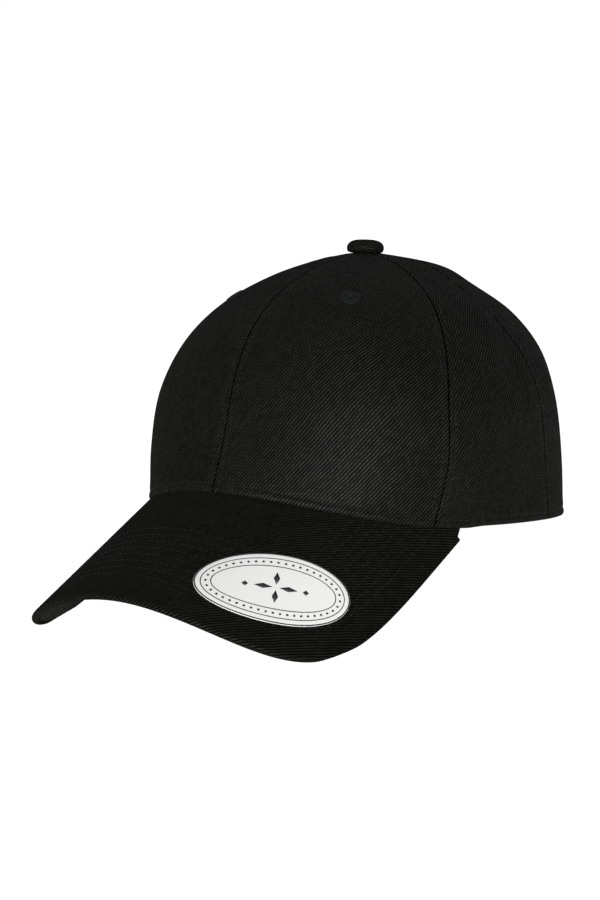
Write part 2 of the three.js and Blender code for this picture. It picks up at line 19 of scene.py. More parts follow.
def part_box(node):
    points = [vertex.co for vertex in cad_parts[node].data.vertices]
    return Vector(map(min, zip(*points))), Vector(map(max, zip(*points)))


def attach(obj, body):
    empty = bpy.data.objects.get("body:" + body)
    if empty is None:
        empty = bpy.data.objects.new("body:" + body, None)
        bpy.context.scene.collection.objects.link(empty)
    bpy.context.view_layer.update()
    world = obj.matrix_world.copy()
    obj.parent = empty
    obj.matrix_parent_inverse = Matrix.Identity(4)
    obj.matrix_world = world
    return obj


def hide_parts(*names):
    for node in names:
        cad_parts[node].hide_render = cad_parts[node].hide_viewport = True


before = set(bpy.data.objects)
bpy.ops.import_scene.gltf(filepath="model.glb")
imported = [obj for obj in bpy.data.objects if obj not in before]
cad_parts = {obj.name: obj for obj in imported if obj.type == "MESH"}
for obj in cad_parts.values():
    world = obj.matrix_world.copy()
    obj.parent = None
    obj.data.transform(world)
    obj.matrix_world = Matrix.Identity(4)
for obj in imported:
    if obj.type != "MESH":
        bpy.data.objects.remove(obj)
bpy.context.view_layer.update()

# Crown
RIM_HALF_WIDTH = 82.0
RIM_HALF_LENGTH = 99.0
CROWN_HEIGHT = 115.0
TOP_SET_BACK = 3.0
CLOTH = 1.8
GAP = 0.3
CROWN_ROWS = {
    "height": (0.0, 0.22, 0.44, 0.63, 0.78, 0.89, 0.96, 1.0),
    "front": (1.0, 0.94, 0.89, 0.80, 0.645, 0.435, 0.205, 0.0),
    "side": (1.0, 1.011, 1.0, 0.88, 0.682, 0.447, 0.27, 0.0),
    "back": (1.0, 0.965, 0.93, 0.92, 0.80, 0.59, 0.385, 0.0),
    "front_corner": (0.01, 0.037, 0.03, 0.026, 0.024, 0.019, -0.01, 0.0),
    "rear_corner": (0.072, 0.054, 0.031, 0.028, 0.026, 0.026, 0.03, 0.0),
    "side_seam": (63, 66, 66, 68, 71, 73, 70, 62),
    "rear_seam": (110, 106, 103, 103, 105, 109, 114, 120),
}
FOLD_COLUMNS = ("angle", "row", "width", "length", "lean", "height")
FOLDS = (
    (74, 0.68, 6, 0.15, -25, 1.0),
    (84, 0.62, 5, 0.14, -20, -0.9),
    (92, 0.50, 5, 0.12, 80, 1.1),
    (100, 0.47, 5, 0.12, 60, -0.9),
    (125, 0.55, 9, 0.16, 30, -1.0),
    (-78, 0.64, 6, 0.15, 25, 0.9),
    (-94, 0.50, 6, 0.12, -60, -1.0),
    (-130, 0.56, 9, 0.16, -30, -0.9),
)
# Smaller folds and dents that only the cloth has
SMALL_FOLDS = (
    (70, 0.075, 4, 0.035, -60, -0.9),
    (76, 0.10, 4, 0.05, 40, 0.5),
    (79, 0.33, 4, 0.09, 30, 0.45),
    (88, 0.22, 6, 0.06, 90, -0.4),
    (98, 0.30, 4, 0.10, 40, 0.45),
    (116, 0.34, 6, 0.10, -20, 0.5),
    (133, 0.75, 6, 0.10, 10, 0.5),
    (150, 0.70, 8, 0.09, 0, -0.6),
    (-72, 0.09, 4, 0.04, 60, -0.7),
    (-86, 0.36, 5, 0.10, -30, 0.5),
    (-112, 0.34, 6, 0.10, 30, 0.5),
    (-140, 0.72, 7, 0.10, 0, 0.5),
)
PANEL_TOP = 0.975
PANELS = {  # the seams on either side of each
    "front": ("front", "side_seam"),
    "side": ("side_seam", "rear_seam"),
    "back": ("rear_seam", "back"),
}
SIDES = {"left": 1, "right": -1}
PANEL_COLUMNS = 104
PANEL_GRID_ROWS = 116
EDGE_CLOSENESS = 0.84  # how much closer together a grid's lines lie at its edges

# Rear arch and strap
ARCH_RADIUS = 0.537 * RIM_HALF_WIDTH
ARCH_STRAIGHT = 8.0
STRAP_WIDTH = 19.0
STRAP_THICKNESS = 1.6
STRAP_ABOVE_RIM = 1.5
STRAP_TAB = 9.0
STRAP_OVERLAP = 62.0
STEP_START = 0.10  # where the over strap starts to step out, past the lap's end, in radians
STEP_LENGTH = 0.09
PEG_RADIUS = 2.0
PEG_PITCH = 9.5
PEG_COUNT = 7

# Sweatband
SWEATBAND = 1.2
SWEATBAND_WIDTH = 31.0
SWEATBAND_ABOVE_RIM = 0.6

# Peak
PEAK_SLOPE = math.radians(31.6)
PEAK_BEND_RADIUS = RIM_HALF_WIDTH + 1
PEAK_OPENING = -0.18
PEAK_END_ANGLE = math.radians(71.5)
PEAK_HALF_WIDTH = 105.5
PEAK_SIDE_START = 69.5
PEAK_REACH = 118.0
PEAK_SIDE_POWER = 3.0
PEAK_FRONT_POWER = 4.7
PEAK_THICKNESS = 3.3
TOP_COVER = 1.5
SEAT_FRONT = 3.2
SEAT_END = 0.6
END_CLEAR = math.radians(3)
END_FADE = math.radians(6)
PEAK_COLUMNS = 270
PEAK_GRID_ROWS = 92
LIP = 3.0  # width of the rolled outer edge, on either face
PEAK_STITCH_FIRST = 14.6  # from the outer edge to the nearest row of stitches
PEAK_STITCH_PITCH = 4.45
PEAK_STITCH_ROWS = 8
PEAK_STITCH_DEPTH = 0.26
PEAK_CHANNEL_WIDTH = 0.75
PEAK_CHANNEL_DEPTH = 0.20

# Button, eyelets and label
BUTTON_RADIUS = 8.2
BUTTON_HEIGHT = 5.0
EYELET_RADIUS = 4.5
EYELET_HOLE = 1.5
EYELET_HEIGHT = 92.0
EYELET_THREADS = 40
LABEL_LENGTH = 65.2
LABEL_WIDTH = 35.0
LABEL_THICKNESS = 0.6
LABEL_ACROSS = 55.3
LABEL_ALONG = 151.9
LABEL_TURN = math.radians(-29.2)
LABEL_RINGS = ((0.15, 0.75), (2.6, 3.0), (6.6, 7.0))  # insets of each ring's edges
BEADS = 44
BEAD = 1.3
BEAD_INSET = 4.8
STAR_LEAVES = ((5.2, 7.5, 2.6), (12.5, 2.6, 2.6))  # distance from the middle, length, width
STAR_UPRIGHT = (4.6, 6.4, 2.6)

# Stitches
STITCH_PITCH = 2.7
STITCH_LENGTH = 2.2
STITCH_WIDTH = 0.5
SEAM_STITCH = 3.1  # from a seam to the row of stitches beside it
RIM_STITCH = 3.4
SEAM_OVERLAP = 0.06  # how far the two cloths of a seam press into each other
SEAM_LINE = 0.5  # width of the painted shade in the fold on either side of a seam
SEAM_SHADE = 3.0  # how strongly the painted shade darkens the cloth

# Swellings and dips beside a sewn edge: distance from it, width, height
SEAM_EDGE = 0.75  # radius of the cloth's turned edge
SEAM_SWELLS = ((1.5, 0.9, 0.12), (4.8, 1.3, 0.06), (SEAM_STITCH, 0.45, -0.12))
RIM_EDGE = 0.9
RIM_SWELLS = ((1.7, 1.0, 0.30), (5.4, 1.5, 0.08), (RIM_STITCH, 0.5, -0.20))

# Camera, in the cap's frame
CAMERA_TARGET = (0.0, 0.0, 60.0)
CAMERA_AZIMUTH = math.radians(35.95)
CAMERA_ELEVATION = math.radians(1.18)
CAMERA_ROLL = math.radians(-1.67)
CAMERA_DISTANCE = 975.0
CAMERA_FOCAL_PIXELS = 2199.0
PICTURE = (600, 900)
TARGET_PIXEL = (357.7, 375.06)  # where CAMERA_TARGET shows in the picture

# Light
TABLE_GLOW = 0.45
ROOM_SIDES = 0.23
ROOM_TOP = 0.44
FRONT_LIGHT = {"azimuth": 36, "elevation": 7, "distance": 2.4, "width": 3.2, "height": 0.8, "power": 70}


# The crown's surface


def row_value(column, t):
    """Smooth curve through one column of CROWN_ROWS."""
    known = np.array(CROWN_ROWS[column], float)
    known = np.concatenate(([2 * known[0] - known[1]], known, [2 * known[-1] - known[-2]]))
    place = np.clip(t, 0, 1) * (len(known) - 3)
    i = np.minimum(np.floor(place).astype(int), len(known) - 4)
    f = place - i
    a, b, c, d = (known[i + k] for k in range(4))
    bend = (2 * a - 5 * b + 4 * c - d) * f**2 + (3 * b - a - 3 * c + d) * f**3
    return (2 * b + (c - a) * f + bend) / 2


FINE_ROWS = np.linspace(0, 1, 401)
FINE_HEIGHTS = row_value("height", FINE_ROWS)


def row_at_height(z):
    return np.interp(np.asarray(z) / CROWN_HEIGHT, FINE_HEIGHTS, FINE_ROWS)


def peak_section(x):
    """Height of the peak's bent section below its middle line."""
    s = x / PEAK_BEND_RADIUS
    return -PEAK_BEND_RADIUS * (1 - np.sqrt(1 - s**2)) * (1 + PEAK_OPENING * s**2)


PEAK_END_X = RIM_HALF_WIDTH * math.sin(PEAK_END_ANGLE)
PEAK_END_Y = -RIM_HALF_LENGTH * math.cos(PEAK_END_ANGLE)
PEAK_RIDGE = -peak_section(PEAK_END_X) / math.cos(PEAK_SLOPE) - PEAK_END_Y * math.tan(PEAK_SLOPE)


def peak_height(x, y):
    return PEAK_RIDGE + peak_section(x) / math.cos(PEAK_SLOPE) + y * math.tan(PEAK_SLOPE)


def turned(theta):
    """The same angle between -pi and pi."""
    return np.arctan2(np.sin(theta), np.cos(theta))


def past_peak(theta):
    return np.clip((np.abs(turned(theta)) - PEAK_END_ANGLE - END_CLEAR) / END_FADE, 0, 1)


def rim_height(theta):
    """Lower edge of the crown, which sits on the peak at the front."""
    share = plan_share(theta, 0.0)
    x, y = RIM_HALF_WIDTH * np.sin(theta) * share, -RIM_HALF_LENGTH * np.cos(theta) * share
    return (peak_height(x, y) + GAP) * (1 - past_peak(theta))


def fold_height(theta, t, folds):
    """How far the folds move the cloth outwards."""
    turn = np.degrees(turned(theta))
    height = 0
    for row in folds:
        fold = dict(zip(FOLD_COLUMNS, row))
        along = (t - fold["row"]) / fold["length"]
        across = (turn - fold["angle"] - fold["lean"] * (t - fold["row"])) / fold["width"]
        height = height + fold["height"] * np.exp(-(along**2) - across**2)
    return height


def plan_share(theta, t):
    """Share of the rim's half sizes that the crown reaches."""
    c, s = np.cos(theta), np.sin(theta)
    lengthways = np.where(c > 0, row_value("front", t), row_value("back", t))
    corner = np.where(c > 0, row_value("front_corner", t), row_value("rear_corner", t))
    share = row_value("side", t) * s**2 + lengthways * c**2 + corner * np.sin(2 * theta) ** 2
    return share + fold_height(theta, t, FOLDS) / RIM_HALF_WIDTH


def crown_point(theta, t, inset=0.0):
    c, s = np.cos(theta), np.sin(theta)
    share = plan_share(theta, t)
    height = row_value("height", t)
    return np.stack(
        np.broadcast_arrays(
            (RIM_HALF_WIDTH - inset) * s * share,
            -(RIM_HALF_LENGTH - inset) * c * share + TOP_SET_BACK * height,
            rim_height(theta) * (1 - height) + (CROWN_HEIGHT - inset) * height,
        ),
        -1,
    )


def unit(vectors):
    return vectors / np.linalg.norm(vectors, axis=-1, keepdims=True)


def crown_normal(theta, t, step=0.004):
    across = crown_point(theta + step, t) - crown_point(theta - step, t)
    upwards = crown_point(theta, t + step) - crown_point(theta, t - step)
    return unit(np.cross(across, upwards))


def first_row(theta, inset, lift):
    """Row at which an inset face starts, so that it clears the peak below it by lift."""
    past = past_peak(theta)
    level = row_at_height(lift - GAP)
    low, high = np.zeros_like(theta), np.full_like(theta, 0.3)
    for _ in range(24):
        middle = (low + high) / 2
        point = crown_point(theta, middle, inset)
        below = point[..., 2] < peak_height(point[..., 0], point[..., 1]) + lift
        low, high = np.where(below, middle, low), np.where(below, high, middle)
    return np.maximum(low * (1 - past), level)


# Reliefs of sewn cloth


def rolled(distance, radius):
    """How far a rounded edge falls away from the face beside it."""
    inside = np.clip(radius - distance, 0, radius)
    return radius - np.sqrt(radius**2 - inside**2)


def swell(distance, middle, width, height):
    return height * np.exp(-(((distance - middle) / width) ** 2))


def sewn_relief(distance, swells, radius):
    """Cloth turned under at an edge, the padding of its allowance and the pull of its stitches."""
    return sum(swell(distance, *row) for row in swells) - rolled(distance, radius)


def slack(points):
    """Slow unevenness of cloth that nothing holds taut, from -1 to 1."""
    x, y, z = points[..., 0], points[..., 1], points[..., 2]
    first = np.sin(0.071 * x + 0.043 * z + 1.3) * np.sin(0.057 * y - 0.094 * z + 0.4)
    second = np.sin(0.031 * x - 0.088 * y + 0.7) * np.sin(0.121 * z + 0.036 * y + 2.1)
    return 0.6 * first + 0.4 * second


# One panel of the crown


class Panel:
    """A crown panel. A place on it is a share from its front seam to its rear seam, and a row."""

    def __init__(self, name, side):
        self.name, self.side, self.sign = name, side, SIDES[side]
        self.seams = PANELS[name]
        shares = np.linspace(0, 1, 25)
        rows = np.linspace(0, 1, 81)
        points = crown_point(self.angle(shares[None, :], rows[:, None]), rows[:, None])
        steps = np.linalg.norm(np.diff(points, axis=1), axis=-1)
        self.widths = (rows, steps.sum(1))
        middle = points[:, len(shares) // 2].copy()
        climb = np.linalg.norm(np.diff(middle, axis=0), axis=-1)
        self.climbs = (rows, np.concatenate(([0], np.cumsum(climb))))
        self.slackness = 0.12 if name == "front" else 0.4

    def seam(self, which, t):
        name = self.seams[which]
        if name in ("front", "back"):
            return 0.0 if name == "front" else math.pi
        return np.radians(row_value(name, t))

    def angle(self, share, t):
        start, end = self.seam(0, t), self.seam(1, t)
        middle = crown_point((start + end) / 2, t)
        radius = np.hypot(middle[..., 0], middle[..., 1] - TOP_SET_BACK * row_value("height", t))
        clear = -SEAM_OVERLAP / 2 / np.maximum(radius, 1)
        return self.sign * (start + clear + (end - start - 2 * clear) * share)

    def width(self, t):
        return np.interp(t, *self.widths)

    def climb(self, t):
        return np.interp(t, *self.climbs)

    def from_seam(self, share, t):
        return np.minimum(share, 1 - share) * self.width(t)

    def from_edge(self, share, t):
        """Distance from the rim, or from the arch in the back panels."""
        theta = self.angle(share, t)
        up = self.climb(t) * (1 - rim_height(theta) / CROWN_HEIGHT)
        if self.name != "back":
            return up
        point = crown_point(theta, t)
        arch = np.hypot(point[..., 0], np.maximum(point[..., 2] - ARCH_STRAIGHT, 0)) - ARCH_RADIUS
        return np.maximum(np.minimum(up, arch), 0)

    def row_above_edge(self, share, distance):
        rows = np.linspace(0, 0.3, 200)
        away = self.from_edge(share[:, None], rows[None, :])
        return np.array([np.interp(distance, line, rows) for line in away])

    def flat(self, share, t):
        """The cloth's own plane: across from the panel's middle and up from the rim's plane."""
        theta = self.angle(share, t)
        lift = rim_height(theta) * (1 - row_value("height", t))
        across = self.sign * (share - 0.5) * self.width(t)
        return np.stack(np.broadcast_arrays(across, self.climb(t) + lift), -1)

    def relief(self, share, t):
        theta = self.angle(share, t)
        seam, edge = self.from_seam(share, t), self.from_edge(share, t)
        near = np.exp(-seam / 3.5)
        climb = self.climb(t)
        pucker = near * (0.10 * np.sin(0.83 * climb + self.sign) + 0.05 * np.sin(2.2 * climb))
        loose = self.slackness * slack(crown_point(theta, t)) * np.clip(seam / 12, 0, 1)
        small = fold_height(theta, t, SMALL_FOLDS)
        sewn = sewn_relief(seam, SEAM_SWELLS, SEAM_EDGE) + sewn_relief(edge, RIM_SWELLS, RIM_EDGE)
        return sewn + pucker + loose + small

    def surface(self, share, t):
        theta = self.angle(share, t)
        return crown_point(theta, t) + crown_normal(theta, t) * self.relief(share, t)[..., None]

    def normal(self, share, t):
        return crown_normal(self.angle(share, t), t)


def place_on_back(x, z):
    """Angle and row of the crown's back at a distance from its middle and a height."""
    t = row_at_height(z)
    theta = np.full_like(t, math.pi)
    for _ in range(12):
        reach = crown_point(theta, t)[..., 0] / np.where(np.sin(theta) == 0, 1, np.sin(theta))
        reach = np.where(np.sin(theta) < 1e-6, RIM_HALF_WIDTH * 0.93, reach)
        theta = math.pi - np.arcsin(np.clip(x / reach, -1, 1))
    return theta, t


def lower_edge(panel, count):
    """Shares and rows along a panel's lower edge, from its front seam to its rear seam."""
    even = crowded(count)
    if panel.name != "back":
        return even, np.zeros(count + 1)
    corner = place_on_back(np.array([ARCH_RADIUS]), np.array([0.0]))[0][0]
    start = float(panel.seam(0, np.array(0.0)))
    rim = np.linspace(start, corner, 60)[:-1]
    upright = np.linspace(0, ARCH_STRAIGHT, 10)[:-1]
    turns = np.linspace(0, math.pi / 2, 60)
    x = np.concatenate((np.full(9, ARCH_RADIUS), ARCH_RADIUS * np.cos(turns)))
    z = np.concatenate((upright, ARCH_STRAIGHT + ARCH_RADIUS * np.sin(turns)))
    arch, arch_rows = place_on_back(x, z)
    theta, t = np.concatenate((rim, arch)), np.concatenate((np.zeros(59), arch_rows))
    first, last = panel.angle(0.0, t) * panel.sign, panel.angle(1.0, t) * panel.sign
    share = np.clip((theta - first) / (last - first), 0, 1)
    share[0], share[-1] = 0, 1
    points = crown_point(theta, t)
    run = np.concatenate(([0], np.cumsum(np.linalg.norm(np.diff(points, axis=0), axis=-1))))
    wanted = even * run[-1]
    return np.interp(wanted, run, share), np.interp(wanted, run, t)


def crowded(count, both=True):
    """Shares from 0 to 1 that lie closer together at the ends, or at the first end alone."""
    s = np.linspace(0, 1, count + 1)
    if both:
        return s - EDGE_CLOSENESS * np.sin(2 * np.pi * s) / (2 * np.pi)
    return s - EDGE_CLOSENESS * np.sin(np.pi * s) / np.pi


# The peak's surface


def peak_point(flat, depth=0.0):
    """Point of the peak's sheet at a depth below its upper face."""
    across, along = flat[..., 0], flat[..., 1]
    x = PEAK_BEND_RADIUS * np.sin(across / PEAK_BEND_RADIUS)
    step = 0.01
    incline = (peak_section(x + step) - peak_section(x - step)) / (2 * step)
    c, s = math.cos(PEAK_SLOPE), math.sin(PEAK_SLOPE)
    section = peak_section(x)
    point = np.stack((x, -section * s - along * c, PEAK_RIDGE + section * c - along * s), -1)
    across_it = np.stack((np.ones_like(x), -incline * s, incline * c), -1)
    normal = unit(np.cross(np.array([0, -c, -s]), across_it))
    return point - normal * np.asarray(depth)[..., None]


def peak_edge(angle):
    across = np.abs(np.sin(angle)) ** (2 / PEAK_SIDE_POWER)
    along = np.abs(np.cos(angle)) ** (2 / PEAK_FRONT_POWER)
    sideways = np.sign(np.sin(angle)) * PEAK_HALF_WIDTH * across
    return np.stack((sideways, PEAK_SIDE_START + PEAK_REACH * along), -1)


def peak_seat(theta):
    inset = SEAT_END + (SEAT_FRONT - SEAT_END) * np.cos(theta / PEAK_END_ANGLE * np.pi / 2)
    share = plan_share(theta, 0.0)
    x = (RIM_HALF_WIDTH - inset) * np.sin(theta) * share
    y = -(RIM_HALF_LENGTH - inset) * np.cos(theta) * share
    along = (-y - peak_section(x) * math.sin(PEAK_SLOPE)) / math.cos(PEAK_SLOPE)
    return np.stack((PEAK_BEND_RADIUS * np.arcsin(x / PEAK_BEND_RADIUS), along), -1)


def evenly(points, count):
    """Points spaced evenly along a line of points."""
    run = np.concatenate(([0], np.cumsum(np.linalg.norm(np.diff(points, axis=0), axis=-1))))
    wanted = np.linspace(0, run[-1], count + 1)
    return np.stack([np.interp(wanted, run, points[:, k]) for k in range(points.shape[1])], -1)


PEAK_OUTLINE = peak_edge(np.linspace(-np.pi / 2, np.pi / 2, 4001))


def inward(line):
    """Directions across a line of flat points, to its right."""
    tangent = unit(np.gradient(line, axis=0))
    return np.stack((tangent[:, 1], -tangent[:, 0]), -1)


def from_peak_edge(flat):
    """Distance of flat points from the peak's outer edge."""
    line = evenly(PEAK_OUTLINE, 700)
    shape = flat.shape[:-1]
    points = flat.reshape(-1, 2)
    nearest = [
        np.linalg.norm(part[:, None, :] - line[None], axis=-1).min(1)
        for part in np.array_split(points, max(1, len(points) // 2000))
    ]
    return np.concatenate(nearest).reshape(shape)


def peak_relief(distance):
    """Channels of the rows of stitches, and the padding between them."""
    relief = 0
    for row in range(PEAK_STITCH_ROWS):
        middle = PEAK_STITCH_FIRST + row * PEAK_STITCH_PITCH
        relief = relief - swell(distance, middle, PEAK_CHANNEL_WIDTH, PEAK_CHANNEL_DEPTH)
    return relief


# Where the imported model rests


class Seat:
    """Turns points of the cap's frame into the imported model's, from its eyelet and its strap's foot."""

    def __init__(self):
        panel = Panel("front", "left")
        t = row_at_height(EYELET_HEIGHT)
        theta = np.asarray((panel.seam(0, t) + panel.seam(1, t)) / 2)
        eyelet = crown_point(theta, t) - crown_normal(theta, t) * CLOTH / 2
        foot = crown_point(np.asarray(math.pi), row_at_height(STRAP_ABOVE_RIM), CLOTH + GAP)
        low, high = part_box("eyelet_front_left")
        packed = np.array((low + high) / 2) * 1000
        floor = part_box("snap_closure")[0][2] * 1000
        span = eyelet - foot
        rise = math.asin((packed[2] - floor) / math.hypot(span[1], span[2]))
        self.tilt = rise - math.atan2(span[2], -span[1])
        turn = Matrix.Rotation(-self.tilt, 4, "X")
        moved = turn @ Vector(eyelet)
        shift = Vector((0, packed[1] - moved.y, packed[2] - moved.z))
        self.matrix = Matrix.Scale(0.001, 4) @ Matrix.Translation(shift) @ turn

    def points(self, points):
        matrix = np.array(self.matrix)
        return points @ matrix[:3, :3].T + matrix[:3, 3]


seat = Seat()


# Making pieces


def finished(name, mesh, materials, replaced=()):
    """Object of a mesh, smooth, riding on the cap and standing for its CAD nodes."""
    piece = bpy.data.objects.new(name, mesh)
    bpy.context.scene.collection.objects.link(piece)
    for material in materials:
        mesh.materials.append(material)
    mesh.shade_smooth()
    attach(piece, "root")
    if replaced:
        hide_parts(*replaced)
    return piece


def made_mesh(name, bm):
    mesh = bpy.data.meshes.new(name)
    bm.to_mesh(mesh)
    bm.free()
    return mesh


def joined(parts):
    """One mesh in the making from several, which are used up."""
    bm = bmesh.new()
    for part in parts:
        mesh = made_mesh("part", part)
        bm.from_mesh(mesh)
        bpy.data.meshes.remove(mesh)
    return bm


def wall(name, outside, inside, flat, materials, replaced=(), hole=None, painted_light=None):
    """Closed wall between two grids of points [row, column], the first one outside.

    flat is the cloth's own plane in millimetres, which its weave follows. hole is a point
    and a radius that the wall leaves open.
    """
    rows, columns = outside.shape[0] - 1, outside.shape[1] - 1
    bm = bmesh.new()
    for z in (1.0, 0.0):
        matrix = Matrix.Translation((0, 0, z))
        bmesh.ops.create_grid(bm, x_segments=columns, y_segments=rows, size=0.5, matrix=matrix)
    inner = [face for face in bm.faces if face.calc_center_median().z < 0.5]
    bmesh.ops.reverse_faces(bm, faces=inner)
    for face in inner:
        face.material_index = len(materials) - 1
    if hole is not None:
        opened(bm, outside, *hole)
    bridge_edges(bm)
    mesh = made_mesh(name, bm)
    count = len(mesh.vertices)
    place = np.zeros(count * 3, np.float32)
    mesh.vertices.foreach_get("co", place)
    place = place.reshape(-1, 3)
    column = np.rint((place[:, 0] + 0.5) * columns).astype(int)
    row = np.rint((place[:, 1] + 0.5) * rows).astype(int)
    outer = place[:, 2] > 0.5
    points = np.where(outer[:, None], outside[row, column], inside[row, column])
    points = np.ascontiguousarray(seat.points(points), dtype=np.float32)
    points[:, 2] = np.maximum(points[:, 2], 0)
    mesh.vertices.foreach_set("co", points.ravel())
    corner = np.zeros(len(mesh.loops), np.int32)
    mesh.loops.foreach_get("vertex_index", corner)
    cloth = mesh.uv_layers.new(name="cloth")
    cloth.uv.foreach_set("vector", flat[row, column][corner].astype(np.float32).ravel())
    # The grid stored here holds painted highlight and painted shade; the cloth's colour and coat follow
    # it.
    if painted_light is not None:
        painted_light_attribute = mesh.attributes.new("painted_light", "FLOAT", "POINT")
        painted_light_attribute.data.foreach_set("value", painted_light[row, column].astype(np.float32))
    mesh.update()
    return finished(name, mesh, materials, replaced)


def opened(bm, outside, middle, radius):
    """Takes away the faces of both grids within a radius of a point."""
    rows, columns = outside.shape[0] - 1, outside.shape[1] - 1
    centres = (outside[1:, 1:] + outside[:-1, 1:] + outside[1:, :-1] + outside[:-1, :-1]) / 4
    near = np.linalg.norm(centres - middle, axis=-1) < radius
    gone = []
    for face in bm.faces:
        centre = face.calc_center_median()
        if near[int((centre.y + 0.5) * rows), int((centre.x + 0.5) * columns)]:
            gone.append(face)
    bmesh.ops.delete(bm, geom=gone, context="FACES")


def bridge_edges(bm):
    """Joins the two grids along their borders, and along the hole if there is one."""
    border, hole = [], []
    for edge in bm.edges:
        if edge.is_boundary:
            middle = (edge.verts[0].co + edge.verts[1].co) / 2
            on_border = max(abs(middle.x), abs(middle.y)) > 0.5 - 1e-6
            (border if on_border else hole).append(edge)
    for loops in (border, hole):
        if loops:
            bmesh.ops.bridge_loops(bm, edges=loops)


def spun(profile, steps):
    """Mesh of a profile of (radius, height), turned round Z."""
    bm = bmesh.new()
    chain = [bm.verts.new((r, 0, z)) for r, z in profile]
    edges = [bm.edges.new(pair) for pair in zip(chain, chain[1:])]
    whole = {"axis": (0, 0, 1), "cent": (0, 0, 0), "angle": 2 * math.pi, "use_merge": True}
    bmesh.ops.spin(bm, geom=chain + edges, steps=steps, **whole)
    bmesh.ops.remove_doubles(bm, verts=bm.verts, dist=1e-4)
    bmesh.ops.recalc_face_normals(bm, faces=bm.faces)
    return bm


def at(point, normal, forward=(0, 0, 1)):
    """Matrix that stands Z on a normal, with X turned towards forward."""
    z = Vector(normal).normalized()
    x = Vector(forward)
    x = (x - z * x.dot(z)).normalized()
    turn = Matrix((x, z.cross(x), z)).transposed().to_4x4()
    return Matrix.Translation(Vector(point)) @ turn


def stitches(name, lines, material, rise=0.0, pitch=STITCH_PITCH, length=STITCH_LENGTH):
    """Rows of stitches along lines of points and normals, each a short swelling of thread."""
    bm = bmesh.new()
    bmesh.ops.create_icosphere(bm, subdivisions=1, radius=0.5)
    bmesh.ops.scale(bm, vec=(length, STITCH_WIDTH, STITCH_WIDTH * 0.8), verts=bm.verts)
    stitch = made_mesh("stitch", bm)
    bm = bmesh.new()
    for points, normals in lines:
        run = np.concatenate(([0], np.cumsum(np.linalg.norm(np.diff(points, axis=0), axis=-1))))
        count = max(int(run[-1] / pitch), 1)
        middles = (np.arange(count) + 0.5) * run[-1] / count
        spots, ahead, up = (
            np.stack([np.interp(middles + shift, run, values[:, k]) for k in range(3)], -1)
            for values, shift in ((points, 0), (points, 0.6), (normals, 0))
        )
        for spot, forward, normal in zip(spots, ahead, up):
            swing = random.uniform(-0.05, 0.05)
            place = at(spot + normal * rise, normal, forward - spot) @ Matrix.Rotation(swing, 4, "Z")
            one = stitch.copy()
            one.transform(seat.matrix @ place)
            bm.from_mesh(one)
            bpy.data.meshes.remove(one)
    bpy.data.meshes.remove(stitch)
    return finished(name, made_mesh(name, bm), [material])


# Finishes


class Nodes:
    """Adds shader nodes to a tree, each with its inputs in one call."""

    def __init__(self, tree):
        self.tree = tree

    def add(self, kind, *inputs, out=0, **settings):
        node = self.tree.nodes.new("ShaderNode" + kind)
        named = {k: v for k, v in settings.items() if k[0].isupper()}
        for key, value in settings.items():
            if key not in named:
                setattr(node, key, value)
        pairs = list(enumerate(inputs)) + [(k.replace("_", " "), v) for k, v in named.items()]
        for key, value in pairs:
            if isinstance(value, bpy.types.NodeSocket):
                self.tree.links.new(value, node.inputs[key])
            elif value is not None:
                node.inputs[key].default_value = value
        return node if out is None else node.outputs[out]

    def math(self, operation, *inputs):
        return self.add("Math", *inputs, operation=operation)

    def mix(self, share, first, second):
        return self.add("MixRGB", share, first, second)


def node_group(name, inputs, outputs):
    """Empty shader group with float and vector inputs, and its nodes."""
    tree = bpy.data.node_groups.new(name, "ShaderNodeTree")
    for label, kind in inputs:
        tree.interface.new_socket(name=label, in_out="INPUT", socket_type="NodeSocket" + kind)
    for label in outputs:
        tree.interface.new_socket(name=label, in_out="OUTPUT", socket_type="NodeSocketFloat")
    nodes = Nodes(tree)
    entry, leave = tree.nodes.new("NodeGroupInput"), tree.nodes.new("NodeGroupOutput")
    return nodes, entry.outputs, leave.inputs


def twill_group():
    """Ribs of twill at an angle across the cloth, broken into the floats of its threads."""
    numbers = ("Pitch", "Angle", "Float length", "Waver", "Crest")
    inputs = [("Cloth", "Vector")] + [(label, "Float") for label in numbers]
    nodes, given, result = node_group("twill", inputs, ("Height", "Thread"))
    m = nodes.math
    place = nodes.add("SeparateXYZ", given["Cloth"], out=None).outputs
    wander = nodes.add("TexNoise", Vector=given["Cloth"], Scale=0.09, Detail=2.0)
    waver = m("MULTIPLY", m("SUBTRACT", wander, 0.5), given["Waver"])
    sine, cosine = m("SINE", given["Angle"]), m("COSINE", given["Angle"])
    across = m("SUBTRACT", m("MULTIPLY", place[0], sine), m("MULTIPLY", place[1], cosine))
    along = m("ADD", m("MULTIPLY", place[0], cosine), m("MULTIPLY", place[1], sine))
    rib = m("DIVIDE", m("ADD", across, waver), given["Pitch"])
    number = m("FLOOR", rib)
    arch = m("ABSOLUTE", m("SINE", m("MULTIPLY", rib, math.pi)))
    beat = m("ADD", m("DIVIDE", along, given["Float length"]), m("MULTIPLY", number, 0.382))
    bead = m("ABSOLUTE", m("SINE", m("MULTIPLY", beat, math.pi)))
    cell = nodes.add("CombineXYZ", number, m("FLOOR", beat), 0.0)
    chance = nodes.add("TexWhiteNoise", cell, noise_dimensions="3D")
    beaded = m("ADD", 0.62, m("MULTIPLY", bead, 0.38))
    height = m("MULTIPLY", arch, beaded)
    # Painted light: the threads are lighter on the crests of the ribs and the middles of the floats, with
    # a random tone for each float.
    shade = m("MULTIPLY", beaded, m("ADD", 0.7, m("MULTIPLY", chance, 0.6)))
    thread = m("MULTIPLY", m("POWER", arch, given["Crest"]), shade)
    nodes.tree.links.new(height, result["Height"])
    nodes.tree.links.new(thread, result["Thread"])
    return nodes.tree


